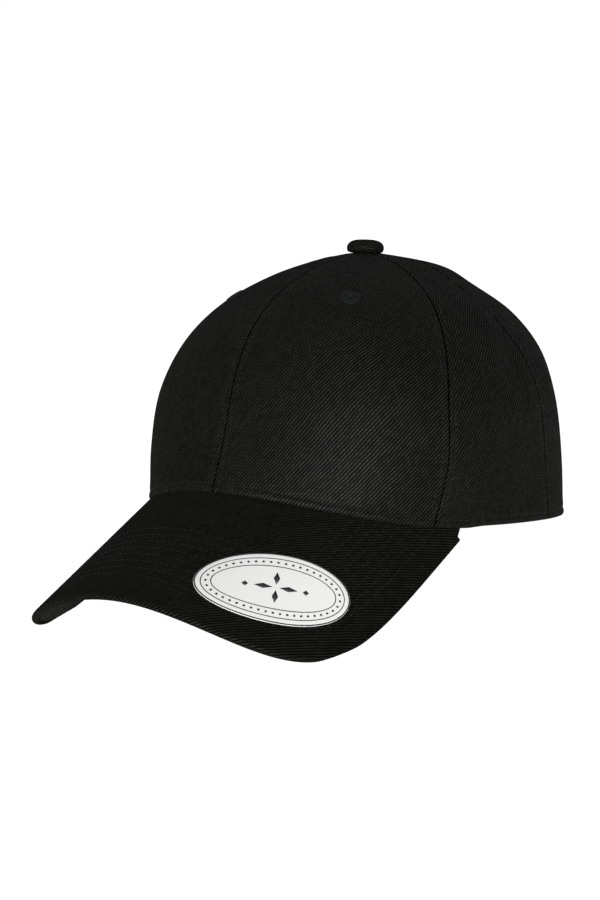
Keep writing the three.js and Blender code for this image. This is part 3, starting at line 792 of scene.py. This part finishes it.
def patches_group():
    """Slow changes of tone over a piece, around 1."""
    inputs = (("Place", "Vector"), ("Size", "Float"), ("Depth", "Float"))
    nodes, given, result = node_group("patches", inputs, ("Tone",))
    m = nodes.math
    scale = m("DIVIDE", 1.0, given["Size"])
    noise = nodes.add("TexNoise", Vector=given["Place"], Scale=scale, Detail=3.0)
    tone = m("ADD", 1.0, m("MULTIPLY", m("SUBTRACT", noise, 0.5), given["Depth"]))
    nodes.tree.links.new(tone, result["Tone"])
    return nodes.tree


TWILL = twill_group()
PATCHES = patches_group()


def material(name, **shader):
    """Material with a Principled BSDF whose plain values are set on it."""
    made = bpy.data.materials.new(name)
    made.use_nodes = True
    nodes = Nodes(made.node_tree)
    principled = made.node_tree.nodes["Principled BSDF"]
    for key, value in shader.items():
        principled.inputs[key.replace("_", " ")].default_value = value
    return made, nodes, principled


def link(nodes, socket, target):
    nodes.tree.links.new(socket, target)


def scaled(nodes, color, share):
    """Colour times a number."""
    shares = nodes.add("CombineXYZ", share, share, share)
    return nodes.add("VectorMath", color, shares, operation="MULTIPLY")


def cloth(name, shaded_groove, yarn, angle, pitch=1.23, depth=0.2, shine=0.15):
    """Twill whose ribs follow the piece's cloth map. Its gleam is a coat on the ribs' crests."""
    made, nodes, shader = material(
        name,
        Sheen_Weight=0.012,
        Sheen_Roughness=0.45,
        Specular_IOR_Level=0.0,
        Coat_Roughness=0.52,
        Coat_IOR=2.0,
    )
    flat = nodes.add("UVMap", uv_map="cloth")
    twill = nodes.add(
        "Group",
        node_tree=TWILL,
        out=None,
        Cloth=flat,
        Pitch=pitch,
        Angle=math.radians(angle),
        Float_length=1.7,
        Waver=pitch * 0.9,
        Crest=2.2,
    )
    tone = nodes.add("Group", node_tree=PATCHES, Place=flat, Size=42.0, Depth=0.5)
    fibres = nodes.add("TexNoise", Vector=flat, Scale=3.1, Detail=3.0, Roughness=0.7)
    # This attribute holds painted highlight and painted shade; added to the random tone, it scales the
    # colour and the coat.
    painted_light_attribute = nodes.add("Attribute", attribute_name="painted_light", out=2)
    lit = nodes.math("MAXIMUM", 0.0, nodes.math("ADD", tone, nodes.math("MULTIPLY", painted_light_attribute, 0.5)))
    # Painted shade: the grooves between the ribs take the much darker groove colour.
    color = nodes.mix(twill.outputs["Thread"], (*shaded_groove, 1), (*yarn, 1))
    link(nodes, scaled(nodes, color, lit), shader.inputs["Base Color"])
    gleam = nodes.math("MULTIPLY", lit, shine)
    gleam = nodes.math("MULTIPLY", twill.outputs["Thread"], gleam)
    link(nodes, gleam, shader.inputs["Coat Weight"])
    rough = nodes.math("ADD", 0.48, nodes.math("MULTIPLY", fibres, 0.24))
    link(nodes, rough, shader.inputs["Roughness"])
    height = nodes.math("ADD", twill.outputs["Height"], nodes.math("MULTIPLY", fibres, 0.35))
    bump = nodes.add("Bump", Strength=1.0, Distance=depth / 1000, Height=height)
    link(nodes, bump, shader.inputs["Normal"])
    return made


def plain_weave(name, color, pitch=0.7):
    """Fine even weave on the cloth map."""
    made, nodes, shader = material(name, Specular_IOR_Level=0.12, Sheen_Weight=0.02)
    m = nodes.math
    flat = nodes.add("UVMap", uv_map="cloth")
    place = nodes.add("SeparateXYZ", flat, out=None).outputs
    over = [m("SINE", m("MULTIPLY", place[k], math.pi / pitch)) for k in (0, 1)]
    check = m("MULTIPLY", over[0], over[1])
    tone = nodes.add("Group", node_tree=PATCHES, Place=flat, Size=30.0, Depth=0.4)
    share = m("MULTIPLY", tone, m("ADD", 1.0, m("MULTIPLY", check, 0.25)))
    link(nodes, scaled(nodes, (*color,), share), shader.inputs["Base Color"])
    fibres = nodes.add("TexNoise", Vector=flat, Scale=2.6, Detail=3.0)
    link(nodes, m("ADD", 0.65, m("MULTIPLY", fibres, 0.2)), shader.inputs["Roughness"])
    bump = nodes.add("Bump", Strength=0.8, Distance=0.0001, Height=m("ADD", check, fibres))
    link(nodes, bump, shader.inputs["Normal"])
    return made


def spun_thread(name, color, roughness=0.5, gloss=0.25):
    """Twisted sewing thread."""
    made, nodes, shader = material(name, Specular_IOR_Level=gloss, Sheen_Weight=0.03)
    place = nodes.add("TexCoord", out=3)
    noise = nodes.add("TexNoise", Vector=place, Scale=1900.0, Detail=2.0)
    tone = nodes.math("ADD", 0.7, nodes.math("MULTIPLY", noise, 0.6))
    link(nodes, scaled(nodes, (*color,), tone), shader.inputs["Base Color"])
    rough = nodes.math("ADD", roughness - 0.1, nodes.math("MULTIPLY", noise, 0.2))
    link(nodes, rough, shader.inputs["Roughness"])
    link(nodes, nodes.add("Bump", Strength=0.6, Distance=0.0001, Height=noise), shader.inputs["Normal"])
    return made


def moulded(name, color):
    """Moulded plastic with a fine matt grain."""
    made, nodes, shader = material(name, Specular_IOR_Level=0.4)
    place = nodes.add("TexCoord", out=3)
    grain = nodes.add("TexNoise", Vector=place, Scale=2600.0, Detail=2.0)
    broad = nodes.add("TexNoise", Vector=place, Scale=60.0, Detail=2.0)
    tone = nodes.math("ADD", 0.85, nodes.math("MULTIPLY", broad, 0.3))
    link(nodes, scaled(nodes, (*color,), tone), shader.inputs["Base Color"])
    link(nodes, nodes.math("ADD", 0.33, nodes.math("MULTIPLY", broad, 0.2)), shader.inputs["Roughness"])
    link(nodes, nodes.add("Bump", Strength=0.5, Distance=0.00004, Height=grain), shader.inputs["Normal"])
    return made


def satin_film(name, color):
    """Silver film with a faint brushed grain."""
    made, nodes, shader = material(name, Metallic=0.15, Specular_IOR_Level=0.4)
    place = nodes.add("TexCoord", out=3)
    drawn_out = nodes.add("Mapping", Vector=place, Scale=(300.0, 2500.0, 2500.0))
    brushed = nodes.add("TexNoise", Vector=drawn_out, Scale=1.0, Detail=2.0)
    tone = nodes.math("ADD", 0.96, nodes.math("MULTIPLY", brushed, 0.08))
    link(nodes, scaled(nodes, (*color,), tone), shader.inputs["Base Color"])
    rough = nodes.math("ADD", 0.36, nodes.math("MULTIPLY", brushed, 0.12))
    link(nodes, rough, shader.inputs["Roughness"])
    bump = nodes.add("Bump", Strength=0.2, Distance=0.00003, Height=brushed)
    link(nodes, bump, shader.inputs["Normal"])
    return made


# The groove colours are painted shade between the twill's ribs.
SHADED_GROOVE = (0.0015, 0.0015, 0.0013)
YARN = (0.0128, 0.0128, 0.0115)
PEAK_SHADED_GROOVE = (0.0010, 0.0011, 0.0009)
PEAK_YARN = (0.0115, 0.0118, 0.0102)
# The underside twill is painted about three times lighter than the top twill, as light from the table
# below; its groove colour is painted shade too.
UNDER_SHADED_GROOVE = (0.006, 0.0065, 0.006)
UNDER_LIT_YARN = (0.042, 0.043, 0.039)
front_twill = cloth("front twill", SHADED_GROOVE, YARN, 49)
side_twill = cloth("side twill", SHADED_GROOVE, YARN, 50)
peak_twill = cloth("peak twill", PEAK_SHADED_GROOVE, PEAK_YARN, -45, pitch=1.27, shine=0.06)
under_twill = cloth(
    "peak underside twill", UNDER_SHADED_GROOVE, UNDER_LIT_YARN, 45, pitch=1.1, depth=0.15, shine=0.05
)
button_twill = cloth("button twill", SHADED_GROOVE, YARN, 50, pitch=1.0, shine=0.1)
backing = plain_weave("panel backing", (0.012, 0.012, 0.012))
band_cloth = plain_weave("sweatband cloth", (0.011, 0.011, 0.011), pitch=0.5)
thread = spun_thread("sewing thread", (0.0075, 0.0075, 0.0069), gloss=0.12)
eyelet_thread = spun_thread("eyelet thread", (0.0085, 0.0096, 0.0105), roughness=0.6, gloss=0.08)
plastic = moulded("black plastic", (0.012, 0.012, 0.012))
film = satin_film("silver film", (0.90, 0.90, 0.89))
ink = moulded("dark ink", (0.03, 0.03, 0.032))


# The crown


def crown_panel(panel):
    edge_share, edge_row = lower_edge(panel, PANEL_COLUMNS)
    up = crowded(PANEL_GRID_ROWS, both=False)[:, None]
    share = edge_share[None] + (crowded(PANEL_COLUMNS)[None] - edge_share[None]) * up
    t = edge_row[None] + (PANEL_TOP - edge_row[None]) * up
    theta = panel.angle(share, t)
    outside = panel.surface(share, t)
    start = np.maximum(first_row(theta, CLOTH, GAP), edge_row[None])
    inner_row = start + (PANEL_TOP - start) * up
    seam, edge = panel.from_seam(share, t), panel.from_edge(share, t)
    turned_in = rolled(seam, 0.6) + rolled(edge, 0.6)
    loose = panel.slackness * slack(crown_point(theta, t)) * np.clip(seam / 12, 0, 1)
    lift = turned_in + loose + fold_height(theta, t, SMALL_FOLDS)
    inside = crown_point(theta, inner_row, CLOTH) + crown_normal(theta, inner_row) * lift[..., None]
    # Painted light: the lighter cloth near the seams and the rim is a painted highlight on the turned
    # edges, and the dark line along each seam is painted shade in its fold.
    dark = SEAM_SHADE * np.exp(-((seam / SEAM_LINE) ** 2))
    painted_light = np.exp(-np.minimum(seam, edge) / 1.2) - dark
    flat = panel.flat(share, t)
    if panel.sign < 0:
        outside, inside, flat, painted_light = (grid[:, ::-1] for grid in (outside, inside, flat, painted_light))
    hole = None
    if panel.name == "front":
        hole = (panel.surface(np.array(0.5), row_at_height(EYELET_HEIGHT)), EYELET_RADIUS - 1.5)
    twill = front_twill if panel.name == "front" else side_twill
    name = f"crown_{panel.name}_{panel.side}_cloth"
    node = f"crown_panel_{panel.name}_{panel.side}"
    return wall(name, outside, inside, flat, [twill, backing], [node], hole, painted_light)


def seam_lines(panel):
    """The row of stitches beside each seam of a panel."""
    lines = []
    for from_front in (True, False):
        foot = 0.02
        if panel.name == "back" and not from_front:
            foot = float(row_at_height(ARCH_STRAIGHT + ARCH_RADIUS + 2))
        t = np.linspace(foot, 0.95, 160)
        share = SEAM_STITCH / panel.width(t)
        share = share if from_front else 1 - share
        lines.append((panel.surface(share, t), panel.normal(share, t)))
    return lines


def rim_lines(panel):
    """The row of stitches above a panel's rim, and round a back panel's half of the arch."""
    lines = []
    share = np.linspace(0.005, 0.995, 120)
    if panel.name == "back":
        corner = place_on_back(np.array([ARCH_RADIUS + RIM_STITCH]), np.array([RIM_STITCH]))[0][0]
        start, end = (float(panel.angle(share, 0.02)) * panel.sign for share in (0.0, 1.0))
        share = np.linspace(0.005, (corner - start) / (end - start), 60)
        turns = np.linspace(-0.1, math.pi / 2, 90)
        reach = ARCH_RADIUS + RIM_STITCH
        theta, t = place_on_back(reach * np.cos(turns), ARCH_STRAIGHT + reach * np.sin(turns))
        first, last = panel.angle(0.0, t) * panel.sign, panel.angle(1.0, t) * panel.sign
        round_arch = np.clip((theta - first) / (last - first), 0, 0.998)
        lines.append((panel.surface(round_arch, t), panel.normal(round_arch, t)))
        t = row_at_height(np.full(60, RIM_STITCH))
        lines.append((panel.surface(share, t), panel.normal(share, t)))
        return lines
    t = panel.row_above_edge(share, RIM_STITCH)
    lines.append((panel.surface(share, t), panel.normal(share, t)))
    return lines


def eyelet(panel):
    """Satin-stitched ring, its threads lying outwards from the hole."""
    middle = (EYELET_HOLE + EYELET_RADIUS) / 2
    half = (EYELET_RADIUS - EYELET_HOLE) / 2
    turns = np.linspace(-math.pi / 2, math.pi * 3 / 2, 17)
    thick = CLOTH / 2 + 0.55
    away = middle + half * np.sign(np.cos(turns)) * np.abs(np.cos(turns)) ** 0.8
    height = thick * np.sign(np.sin(turns)) * np.abs(np.sin(turns)) ** 0.7
    bm = spun(list(zip(away, height)), EYELET_THREADS * 4)
    for vertex in bm.verts:
        turn = math.atan2(vertex.co.y, vertex.co.x)
        ridge = 0.09 * math.cos(EYELET_THREADS * turn)
        vertex.co.z += math.copysign(ridge, vertex.co.z)
    t = row_at_height(EYELET_HEIGHT)
    normal = panel.normal(np.array(0.5), t)
    foot = crown_point(panel.angle(np.array(0.5), t), t) - normal * CLOTH / 2
    bm.transform(seat.matrix @ at(foot, normal))
    node = f"eyelet_{panel.name}_{panel.side}"
    name = node + "_thread"
    return finished(name, made_mesh(name, bm), [eyelet_thread], [node])


panels = [Panel(name, side) for side in SIDES for name in PANELS]
random.seed(7)
for one in panels:
    crown_panel(one)
    if one.name == "front":
        eyelet(one)
for name, lines in (("crown_seam_stitches", seam_lines), ("crown_rim_stitches", rim_lines)):
    stitches(name, [line for one in panels for line in lines(one)], thread)


def top_button():
    """Button under a round of cloth that is gathered beneath it."""
    rim = 0.94 * BUTTON_RADIUS
    profile = [(0, -0.6), (rim - 1.2, -0.85), (rim, -0.5)]
    profile += [(BUTTON_RADIUS - 0.05, 0.5), (BUTTON_RADIUS, 1.4)]
    for a in np.linspace(0.12, math.pi / 2, 22):
        dome = 1.6 + (BUTTON_HEIGHT - 1.6) * math.sin(a) ** 1.05
        profile.append((BUTTON_RADIUS * math.cos(a) ** 0.62, dome))
    profile[-1] = (0, BUTTON_HEIGHT)
    fine = evenly(np.array(profile), 44)
    bm = spun([tuple(p) for p in fine], 96)
    arc = np.concatenate(([0], np.cumsum(np.linalg.norm(np.diff(fine[::-1], axis=0), axis=-1))))
    heights = fine[::-1, 1]
    layer = bm.loops.layers.uv.new("cloth")
    for vertex in bm.verts:
        turn = math.atan2(vertex.co.y, vertex.co.x)
        away = np.interp(-vertex.co.z, -heights, arc)
        for loop in vertex.link_loops:
            loop[layer].uv = (away * math.cos(turn), away * math.sin(turn))
    for vertex in bm.verts:
        turn = math.atan2(vertex.co.y, vertex.co.x)
        low = min(max(1 - vertex.co.z / 3.2, 0), 1)
        pleat = 1 + 0.018 * low * math.cos(13 * turn + math.sin(3 * turn))
        vertex.co.x *= pleat
        vertex.co.y *= pleat
    bm.transform(seat.matrix @ Matrix.Translation((0, TOP_SET_BACK, CROWN_HEIGHT)))
    name = "top_button_cloth"
    return finished(name, made_mesh(name, bm), [button_twill], ["top_button"])


top_button()


# The sweatband and the strap

ARCH_END_ANGLE = math.asin(ARCH_RADIUS / RIM_HALF_WIDTH)
TAB_ANGLE = STRAP_TAB / RIM_HALF_WIDTH


def band_point(theta, up, inset):
    start = first_row(theta, inset, GAP + SWEATBAND_ABOVE_RIM)
    top = row_at_height(SWEATBAND_WIDTH)
    return crown_point(theta, start + (top - start) * up, inset)


def sweatband():
    end = math.pi - ARCH_END_ANGLE - TAB_ANGLE - 2 * GAP / RIM_HALF_WIDTH
    theta = np.linspace(-end, end, 281)[None]
    up = crowded(30)[:, None]
    outer = CLOTH + GAP
    distance = np.minimum(up, 1 - up) * SWEATBAND_WIDTH
    ends = (end - np.abs(theta)) * RIM_HALF_WIDTH
    edge = np.minimum(distance, ends)
    normal = crown_normal(theta, up * 0.25 + 0 * theta)
    hem = rolled(edge, 0.5) - swell(distance, 2.2, 1.2, 0.12) + swell(distance, 4.2, 0.5, 0.16)
    outside = band_point(theta, up, outer) - normal * rolled(edge, 0.5)[..., None]
    inside = band_point(theta, up, outer + SWEATBAND) + normal * hem[..., None]
    flat = np.stack(np.broadcast_arrays(theta * RIM_HALF_WIDTH, up * SWEATBAND_WIDTH), -1)
    wall("sweatband_cloth", outside, inside, flat, [band_cloth], ["sweatband"])
    rows = []
    for share in (0.14, 0.86):
        line = np.linspace(-end + 0.02, end - 0.02, 400)
        points = band_point(line, share, outer + SWEATBAND)
        inwards = -crown_normal(line, np.full_like(line, share * 0.25))
        rows.append((points - inwards * 0.10, inwards))
    stitches("sweatband_stitches", rows, thread, rise=0.04)


def strap(name, start, end, layer, replaced=()):
    """Strap along the rear rim between two angles from the back, with a rounded far end.

    layer gives its inset from the crown's outer face at an angle from the back.
    """
    half = STRAP_WIDTH / 2
    theta = start + (end - start) * crowded(110)
    length = np.abs(end - theta) * RIM_HALF_LENGTH
    narrowed = np.sqrt(1 - np.clip(1 - length / half, 0, 0.985) ** 2)
    middle = STRAP_ABOVE_RIM + half
    side = 2 * crowded(16) - 1
    height = middle + side[:, None] * narrowed[None] * (half - 0.15)
    t = row_at_height(height)
    away = np.abs(theta - start) * RIM_HALF_LENGTH
    edge = np.minimum((1 - np.abs(side))[:, None] * half, np.minimum(length, away)[None])
    angle = math.pi + theta[None] + 0 * t
    inset = layer(theta)[None] + 0 * t
    normal = crown_normal(angle, t)
    soft = rolled(edge, 0.45)[..., None] * normal
    outside = crown_point(angle, t, inset) - soft
    inside = crown_point(angle, t, inset + STRAP_THICKNESS) + soft
    flat = np.stack(np.broadcast_arrays(theta[None] * RIM_HALF_LENGTH, height), -1)
    if end < start:
        outside, inside, flat = (grid[:, ::-1] for grid in (outside, inside, flat))
    return wall(name, outside, inside, flat, [plastic], replaced)


def pegs():
    """Snap pegs, each with a rounded head."""
    stem, brow = PEG_RADIUS, PEG_RADIUS + 0.35
    profile = [(0, -0.5), (stem, -0.5), (stem, 0.3), (brow - 0.05, 0.6), (brow, 0.85)]
    profile += [(brow - 0.25, 1.15), (brow - 0.85, 1.35), (0, 1.4)]
    t = row_at_height(STRAP_ABOVE_RIM + STRAP_WIDTH / 2)
    made = []
    for k in range(PEG_COUNT):
        theta = math.pi + (k - (PEG_COUNT - 1) / 2) * PEG_PITCH / RIM_HALF_LENGTH
        normal = crown_normal(np.array(theta), t)
        foot = crown_point(np.array(theta), t, CLOTH + GAP - STRAP_THICKNESS + 0.4)
        one = spun(profile, 32)
        one.transform(seat.matrix @ at(foot, normal))
        made.append(one)
    return finished("snap_pegs", made_mesh("snap_pegs", joined(made)), [plastic])


def closure():
    reach = ARCH_END_ANGLE + TAB_ANGLE
    overlap = STRAP_OVERLAP / 2 / RIM_HALF_LENGTH
    under, over = CLOTH + GAP, CLOTH + GAP - STRAP_THICKNESS - 0.05

    def stepping(theta):
        along = np.clip((overlap + STEP_START - theta) / STEP_LENGTH, 0, 1)
        return under + (over - under) * along * along * (3 - 2 * along)

    strap("snap_strap_under", -reach, overlap, lambda theta: under + 0 * theta, ["snap_closure"])
    strap("snap_strap_over", reach, -overlap, stepping)
    pegs()


sweatband()
closure()


# The peak


def peak_lines(inset):
    """Seat, outer edge and inward directions of the peak's columns."""
    seat_line = evenly(peak_seat(np.linspace(-PEAK_END_ANGLE, PEAK_END_ANGLE, 801)), PEAK_COLUMNS)
    edge_line = evenly(PEAK_OUTLINE, PEAK_COLUMNS)
    away = inward(edge_line)
    return seat_line, edge_line + away * inset, away


def peak_top():
    """Upper cover, which wraps round the outer edge and a little way under it."""
    seat_line, edge_line, away = peak_lines(0)
    knee = edge_line + away * LIP
    shares = np.linspace(0, 1, PEAK_GRID_ROWS)[:, None, None]
    flat_top = seat_line[None] + (knee - seat_line)[None] * shares
    distance = from_peak_edge(flat_top)
    radius = PEAK_THICKNESS / 2
    fade = np.clip((np.linalg.norm(flat_top - seat_line[None], axis=-1)) / 6, 0, 1)
    top_depth = -peak_relief(distance) * fade
    turns = np.linspace(0, math.pi, 15)
    bow = radius - radius * np.sin(turns)
    insets = np.concatenate(([LIP - 0.5, LIP - 0.9], bow, [radius + 0.35, LIP - 0.6]))
    depths = np.concatenate(([0, 0], radius - radius * np.cos(turns), [PEAK_THICKNESS] * 2))
    lip = edge_line[None] + away[None] * insets[:, None, None]
    lip_depth = np.repeat(depths[:, None], len(edge_line), 1)
    outside = np.concatenate((peak_point(flat_top, top_depth), peak_point(lip, lip_depth)))
    hem = edge_line + away * (LIP - 0.6)
    inner_lip = np.repeat(hem[None], len(insets), 0)
    inner_depth = np.linspace(TOP_COVER, PEAK_THICKNESS - 0.25, len(insets))[:, None] + 0 * lip_depth
    inner_top = peak_point(flat_top, TOP_COVER + 0 * top_depth)
    inside = np.concatenate((inner_top, peak_point(inner_lip, inner_depth)))
    run = np.concatenate(([0], np.cumsum(np.hypot(np.diff(insets), np.diff(depths)))))
    cloth_lip = edge_line[None] + away[None] * (insets[0] - run)[:, None, None]
    flat = np.concatenate((flat_top, cloth_lip))
    # Painted highlight: a lighter band along the rounded outer edge of the lip.
    painted_light = np.zeros(flat.shape[:2])
    painted_light[PEAK_GRID_ROWS:] = swell(np.arange(len(insets)), 9, 3.5, 1.0)[:, None]
    cloths = [peak_twill, under_twill]
    wall("peak_top_cloth", outside, inside, flat, cloths, ["peak_top_cover"], painted_light=painted_light)


def peak_under():
    """Under cover, let in behind the rolled edge."""
    seat_line, _, _ = peak_lines(0)
    _, edge_line, _ = peak_lines(LIP - 0.3)
    shares = (1 - crowded(40, both=False)[::-1])[:, None, None]
    flat = seat_line[None] + (edge_line - seat_line)[None] * shares
    edge = (1 - shares[..., 0]) * np.linalg.norm(edge_line - seat_line, axis=-1)[None]
    soft = rolled(edge, 0.35)
    outside = peak_point(flat, TOP_COVER + GAP + soft)
    inside = peak_point(flat, PEAK_THICKNESS - 0.1 - soft)
    wall("peak_under_cloth", outside, inside, flat, [under_twill], ["peak_under_cover"])


def peak_stitch_lines():
    """Rows of stitches parallel to the outer edge, from one end of the crown to the other."""
    lines = []
    outline = evenly(PEAK_OUTLINE, 900)
    away = inward(outline)
    seat_line = evenly(peak_seat(np.linspace(-PEAK_END_ANGLE, PEAK_END_ANGLE, 801)), 800)
    for row in range(PEAK_STITCH_ROWS):
        line = outline + away * (PEAK_STITCH_FIRST + row * PEAK_STITCH_PITCH)
        clear = from_peak_edge(line) > PEAK_STITCH_FIRST + row * PEAK_STITCH_PITCH - 0.2
        seat_along = np.interp(line[:, 0], seat_line[:, 0], seat_line[:, 1], left=1e3, right=1e3)
        line = line[clear & (line[:, 1] > seat_along + 4)]
        points = peak_point(line, np.full(len(line), PEAK_STITCH_DEPTH))
        normals = unit(points - peak_point(line, np.full(len(line), PEAK_STITCH_DEPTH + 1)))
        lines.append((points, normals))
    return lines


peak_top()
peak_under()
stitches("peak_stitches", peak_stitch_lines(), thread, rise=0.1, pitch=3.0, length=2.4)


# The label


def on_label(bm, lift):
    """Moves a flat drawing in millimetres, centred on the label, onto the peak."""
    turn = Matrix.Rotation(LABEL_TURN, 2)
    places = np.array([turn @ vertex.co.xy for vertex in bm.verts])
    flat = places + np.array([LABEL_ACROSS, LABEL_ALONG])
    points = seat.points(peak_point(flat, np.full(len(flat), -lift)))
    for vertex, point in zip(bm.verts, points):
        vertex.co = point
    bmesh.ops.recalc_face_normals(bm, faces=bm.faces)
    if sum(face.normal.z for face in bm.faces) < 0:
        bmesh.ops.reverse_faces(bm, faces=bm.faces)


def label_piece(name, bm, lift, thickness, material_used, replaced=(), bevel=0.0):
    on_label(bm, lift)
    piece = finished(name, made_mesh(name, bm), [material_used], replaced)
    solid = piece.modifiers.new("thickness", "SOLIDIFY")
    solid.thickness, solid.offset = thickness / 1000, -1
    if bevel:
        edge = piece.modifiers.new("edge", "BEVEL")
        edge.width, edge.segments, edge.limit_method = bevel / 1000, 2, "ANGLE"
    return piece


def whole_oval(steps, rings):
    """Flat oval of the label's size."""
    bm = spun([(k / rings, 0) for k in range(rings + 1)], steps)
    bmesh.ops.scale(bm, vec=(LABEL_LENGTH / 2, LABEL_WIDTH / 2, 1), verts=bm.verts)
    return bm


def oval_ring(start, end, steps=120):
    """Flat ring between two insets from the label's edge."""
    bm = spun([(1, 0), (2, 0)], steps)
    for vertex in bm.verts:
        x, y = vertex.co.x, vertex.co.y
        r = math.hypot(x, y)
        inset = start + (end - start) * (r - 1)
        vertex.co = ((LABEL_LENGTH / 2 - inset) * x / r, (LABEL_WIDTH / 2 - inset) * y / r, 0)
    return bm


def lozenge(x, y, width, height):
    bm = bmesh.new()
    bmesh.ops.create_circle(bm, cap_ends=True, segments=4, radius=1)
    bmesh.ops.scale(bm, vec=(width / 2, height / 2, 1), verts=bm.verts)
    bmesh.ops.translate(bm, vec=(x, y, 0), verts=bm.verts)
    return bm


def label():
    """Silver oval with a plain ornament: rings, beads between them and a four-leaved star."""
    top = GAP + LABEL_THICKNESS - 0.1
    disc = whole_oval(120, 12)
    label_piece("peak_label_film", disc, top, LABEL_THICKNESS - 0.1, film, ["peak_label"], 0.15)
    parts = [oval_ring(start, end) for start, end in LABEL_RINGS]
    a, b = LABEL_LENGTH / 2 - BEAD_INSET, LABEL_WIDTH / 2 - BEAD_INSET
    oval = [(a * math.cos(k), b * math.sin(k)) for k in np.linspace(0, 2 * math.pi, 721)]
    parts += [lozenge(x, y, BEAD, BEAD) for x, y in evenly(np.array(oval), BEADS)[:-1]]
    for sign in (1, -1):
        for away, length, width in STAR_LEAVES:
            parts.append(lozenge(sign * away, 0, length, width))
        away, length, width = STAR_UPRIGHT
        parts.append(lozenge(0, sign * away, width, length))
    label_piece("peak_label_print", joined(parts), top + 0.05, 0.05, ink)


label()


# Stage, light and camera


def stage():
    """White light table that runs on into a white backdrop, in a room that gives little other light."""
    bm = bmesh.new()
    bmesh.ops.create_circle(bm, cap_ends=True, segments=64, radius=14)
    mesh = made_mesh("floor", bm)
    floor = bpy.data.objects.new("floor", mesh)
    bpy.context.scene.collection.objects.link(floor)
    paint, nodes, shader = material(
        "white floor", Base_Color=(0.3, 0.3, 0.3, 1), Specular_IOR_Level=0.0, Emission_Strength=1.0,
    )
    seen = nodes.add("LightPath")
    link(nodes, nodes.mix(seen, (*[TABLE_GLOW] * 3, 1), (1, 1, 1, 1)), shader.inputs["Emission Color"])
    grain = nodes.add("TexNoise", Vector=nodes.add("TexCoord", out=3), Scale=40.0)
    link(nodes, nodes.math("ADD", 0.65, nodes.math("MULTIPLY", grain, 0.1)), shader.inputs["Roughness"])
    mesh.materials.append(paint)
    world = bpy.data.worlds.new("white studio")
    bpy.context.scene.world = world
    world.use_nodes = True
    nodes = Nodes(world.node_tree)
    background = world.node_tree.nodes["Background"]
    up = nodes.add("SeparateXYZ", nodes.add("TexCoord"), out=2)
    room = nodes.mix(nodes.math("ABSOLUTE", up), (*[ROOM_SIDES] * 3, 1), (*[ROOM_TOP] * 3, 1))
    seen = nodes.add("LightPath")
    link(nodes, nodes.mix(seen, room, (1, 1, 1, 1)), background.inputs["Color"])


def softbox(name, azimuth, elevation, distance, width, height, power):
    """Oblong area light that looks at the cap from an azimuth and elevation in degrees."""
    light = bpy.data.lights.new(name, "AREA")
    light.shape, light.size, light.size_y, light.energy = "RECTANGLE", width, height, power
    lamp = bpy.data.objects.new(name, light)
    bpy.context.scene.collection.objects.link(lamp)
    a, e = math.radians(azimuth), math.radians(elevation)
    away = Vector((math.sin(a) * math.cos(e), -math.cos(a) * math.cos(e), math.sin(e)))
    lamp.location = Vector((0, 0, 0.07)) + away * distance
    lamp.rotation_euler = away.to_track_quat("Z", "Y").to_euler()
    return lamp


def camera():
    """Camera of the photograph, aimed so that CAMERA_TARGET shows at TARGET_PIXEL."""
    a, e, r = CAMERA_AZIMUTH, CAMERA_ELEVATION, CAMERA_ROLL
    right = Vector((math.cos(a), math.sin(a), 0))
    back = Vector((math.sin(a) * math.cos(e), -math.cos(a) * math.cos(e), math.sin(e)))
    up = back.cross(right)
    across = right * math.cos(r) - up * math.sin(r)
    level = Matrix((across, right * math.sin(r) + up * math.cos(r), back)).transposed()
    off_x = (TARGET_PIXEL[0] - PICTURE[0] / 2) / CAMERA_FOCAL_PIXELS
    off_y = (TARGET_PIXEL[1] - PICTURE[1] / 2) / CAMERA_FOCAL_PIXELS
    aim = Vector((off_x, -off_y, -1)).rotation_difference(Vector((0, 0, -1))).to_matrix()
    data = bpy.data.cameras.new("camera")
    data.lens = CAMERA_FOCAL_PIXELS * data.sensor_width / max(PICTURE)
    view = bpy.data.objects.new("camera", data)
    bpy.context.scene.collection.objects.link(view)
    spot = Vector(CAMERA_TARGET) + back * CAMERA_DISTANCE
    turn = Matrix.Rotation(-seat.tilt, 3, "X") @ level @ aim
    view.matrix_world = Matrix.Translation(seat.matrix @ spot) @ turn.to_4x4()
    bpy.context.scene.camera = view


stage()
softbox("front light", **FRONT_LIGHT)
camera()
bpy.context.scene.view_settings.view_transform = "Standard"
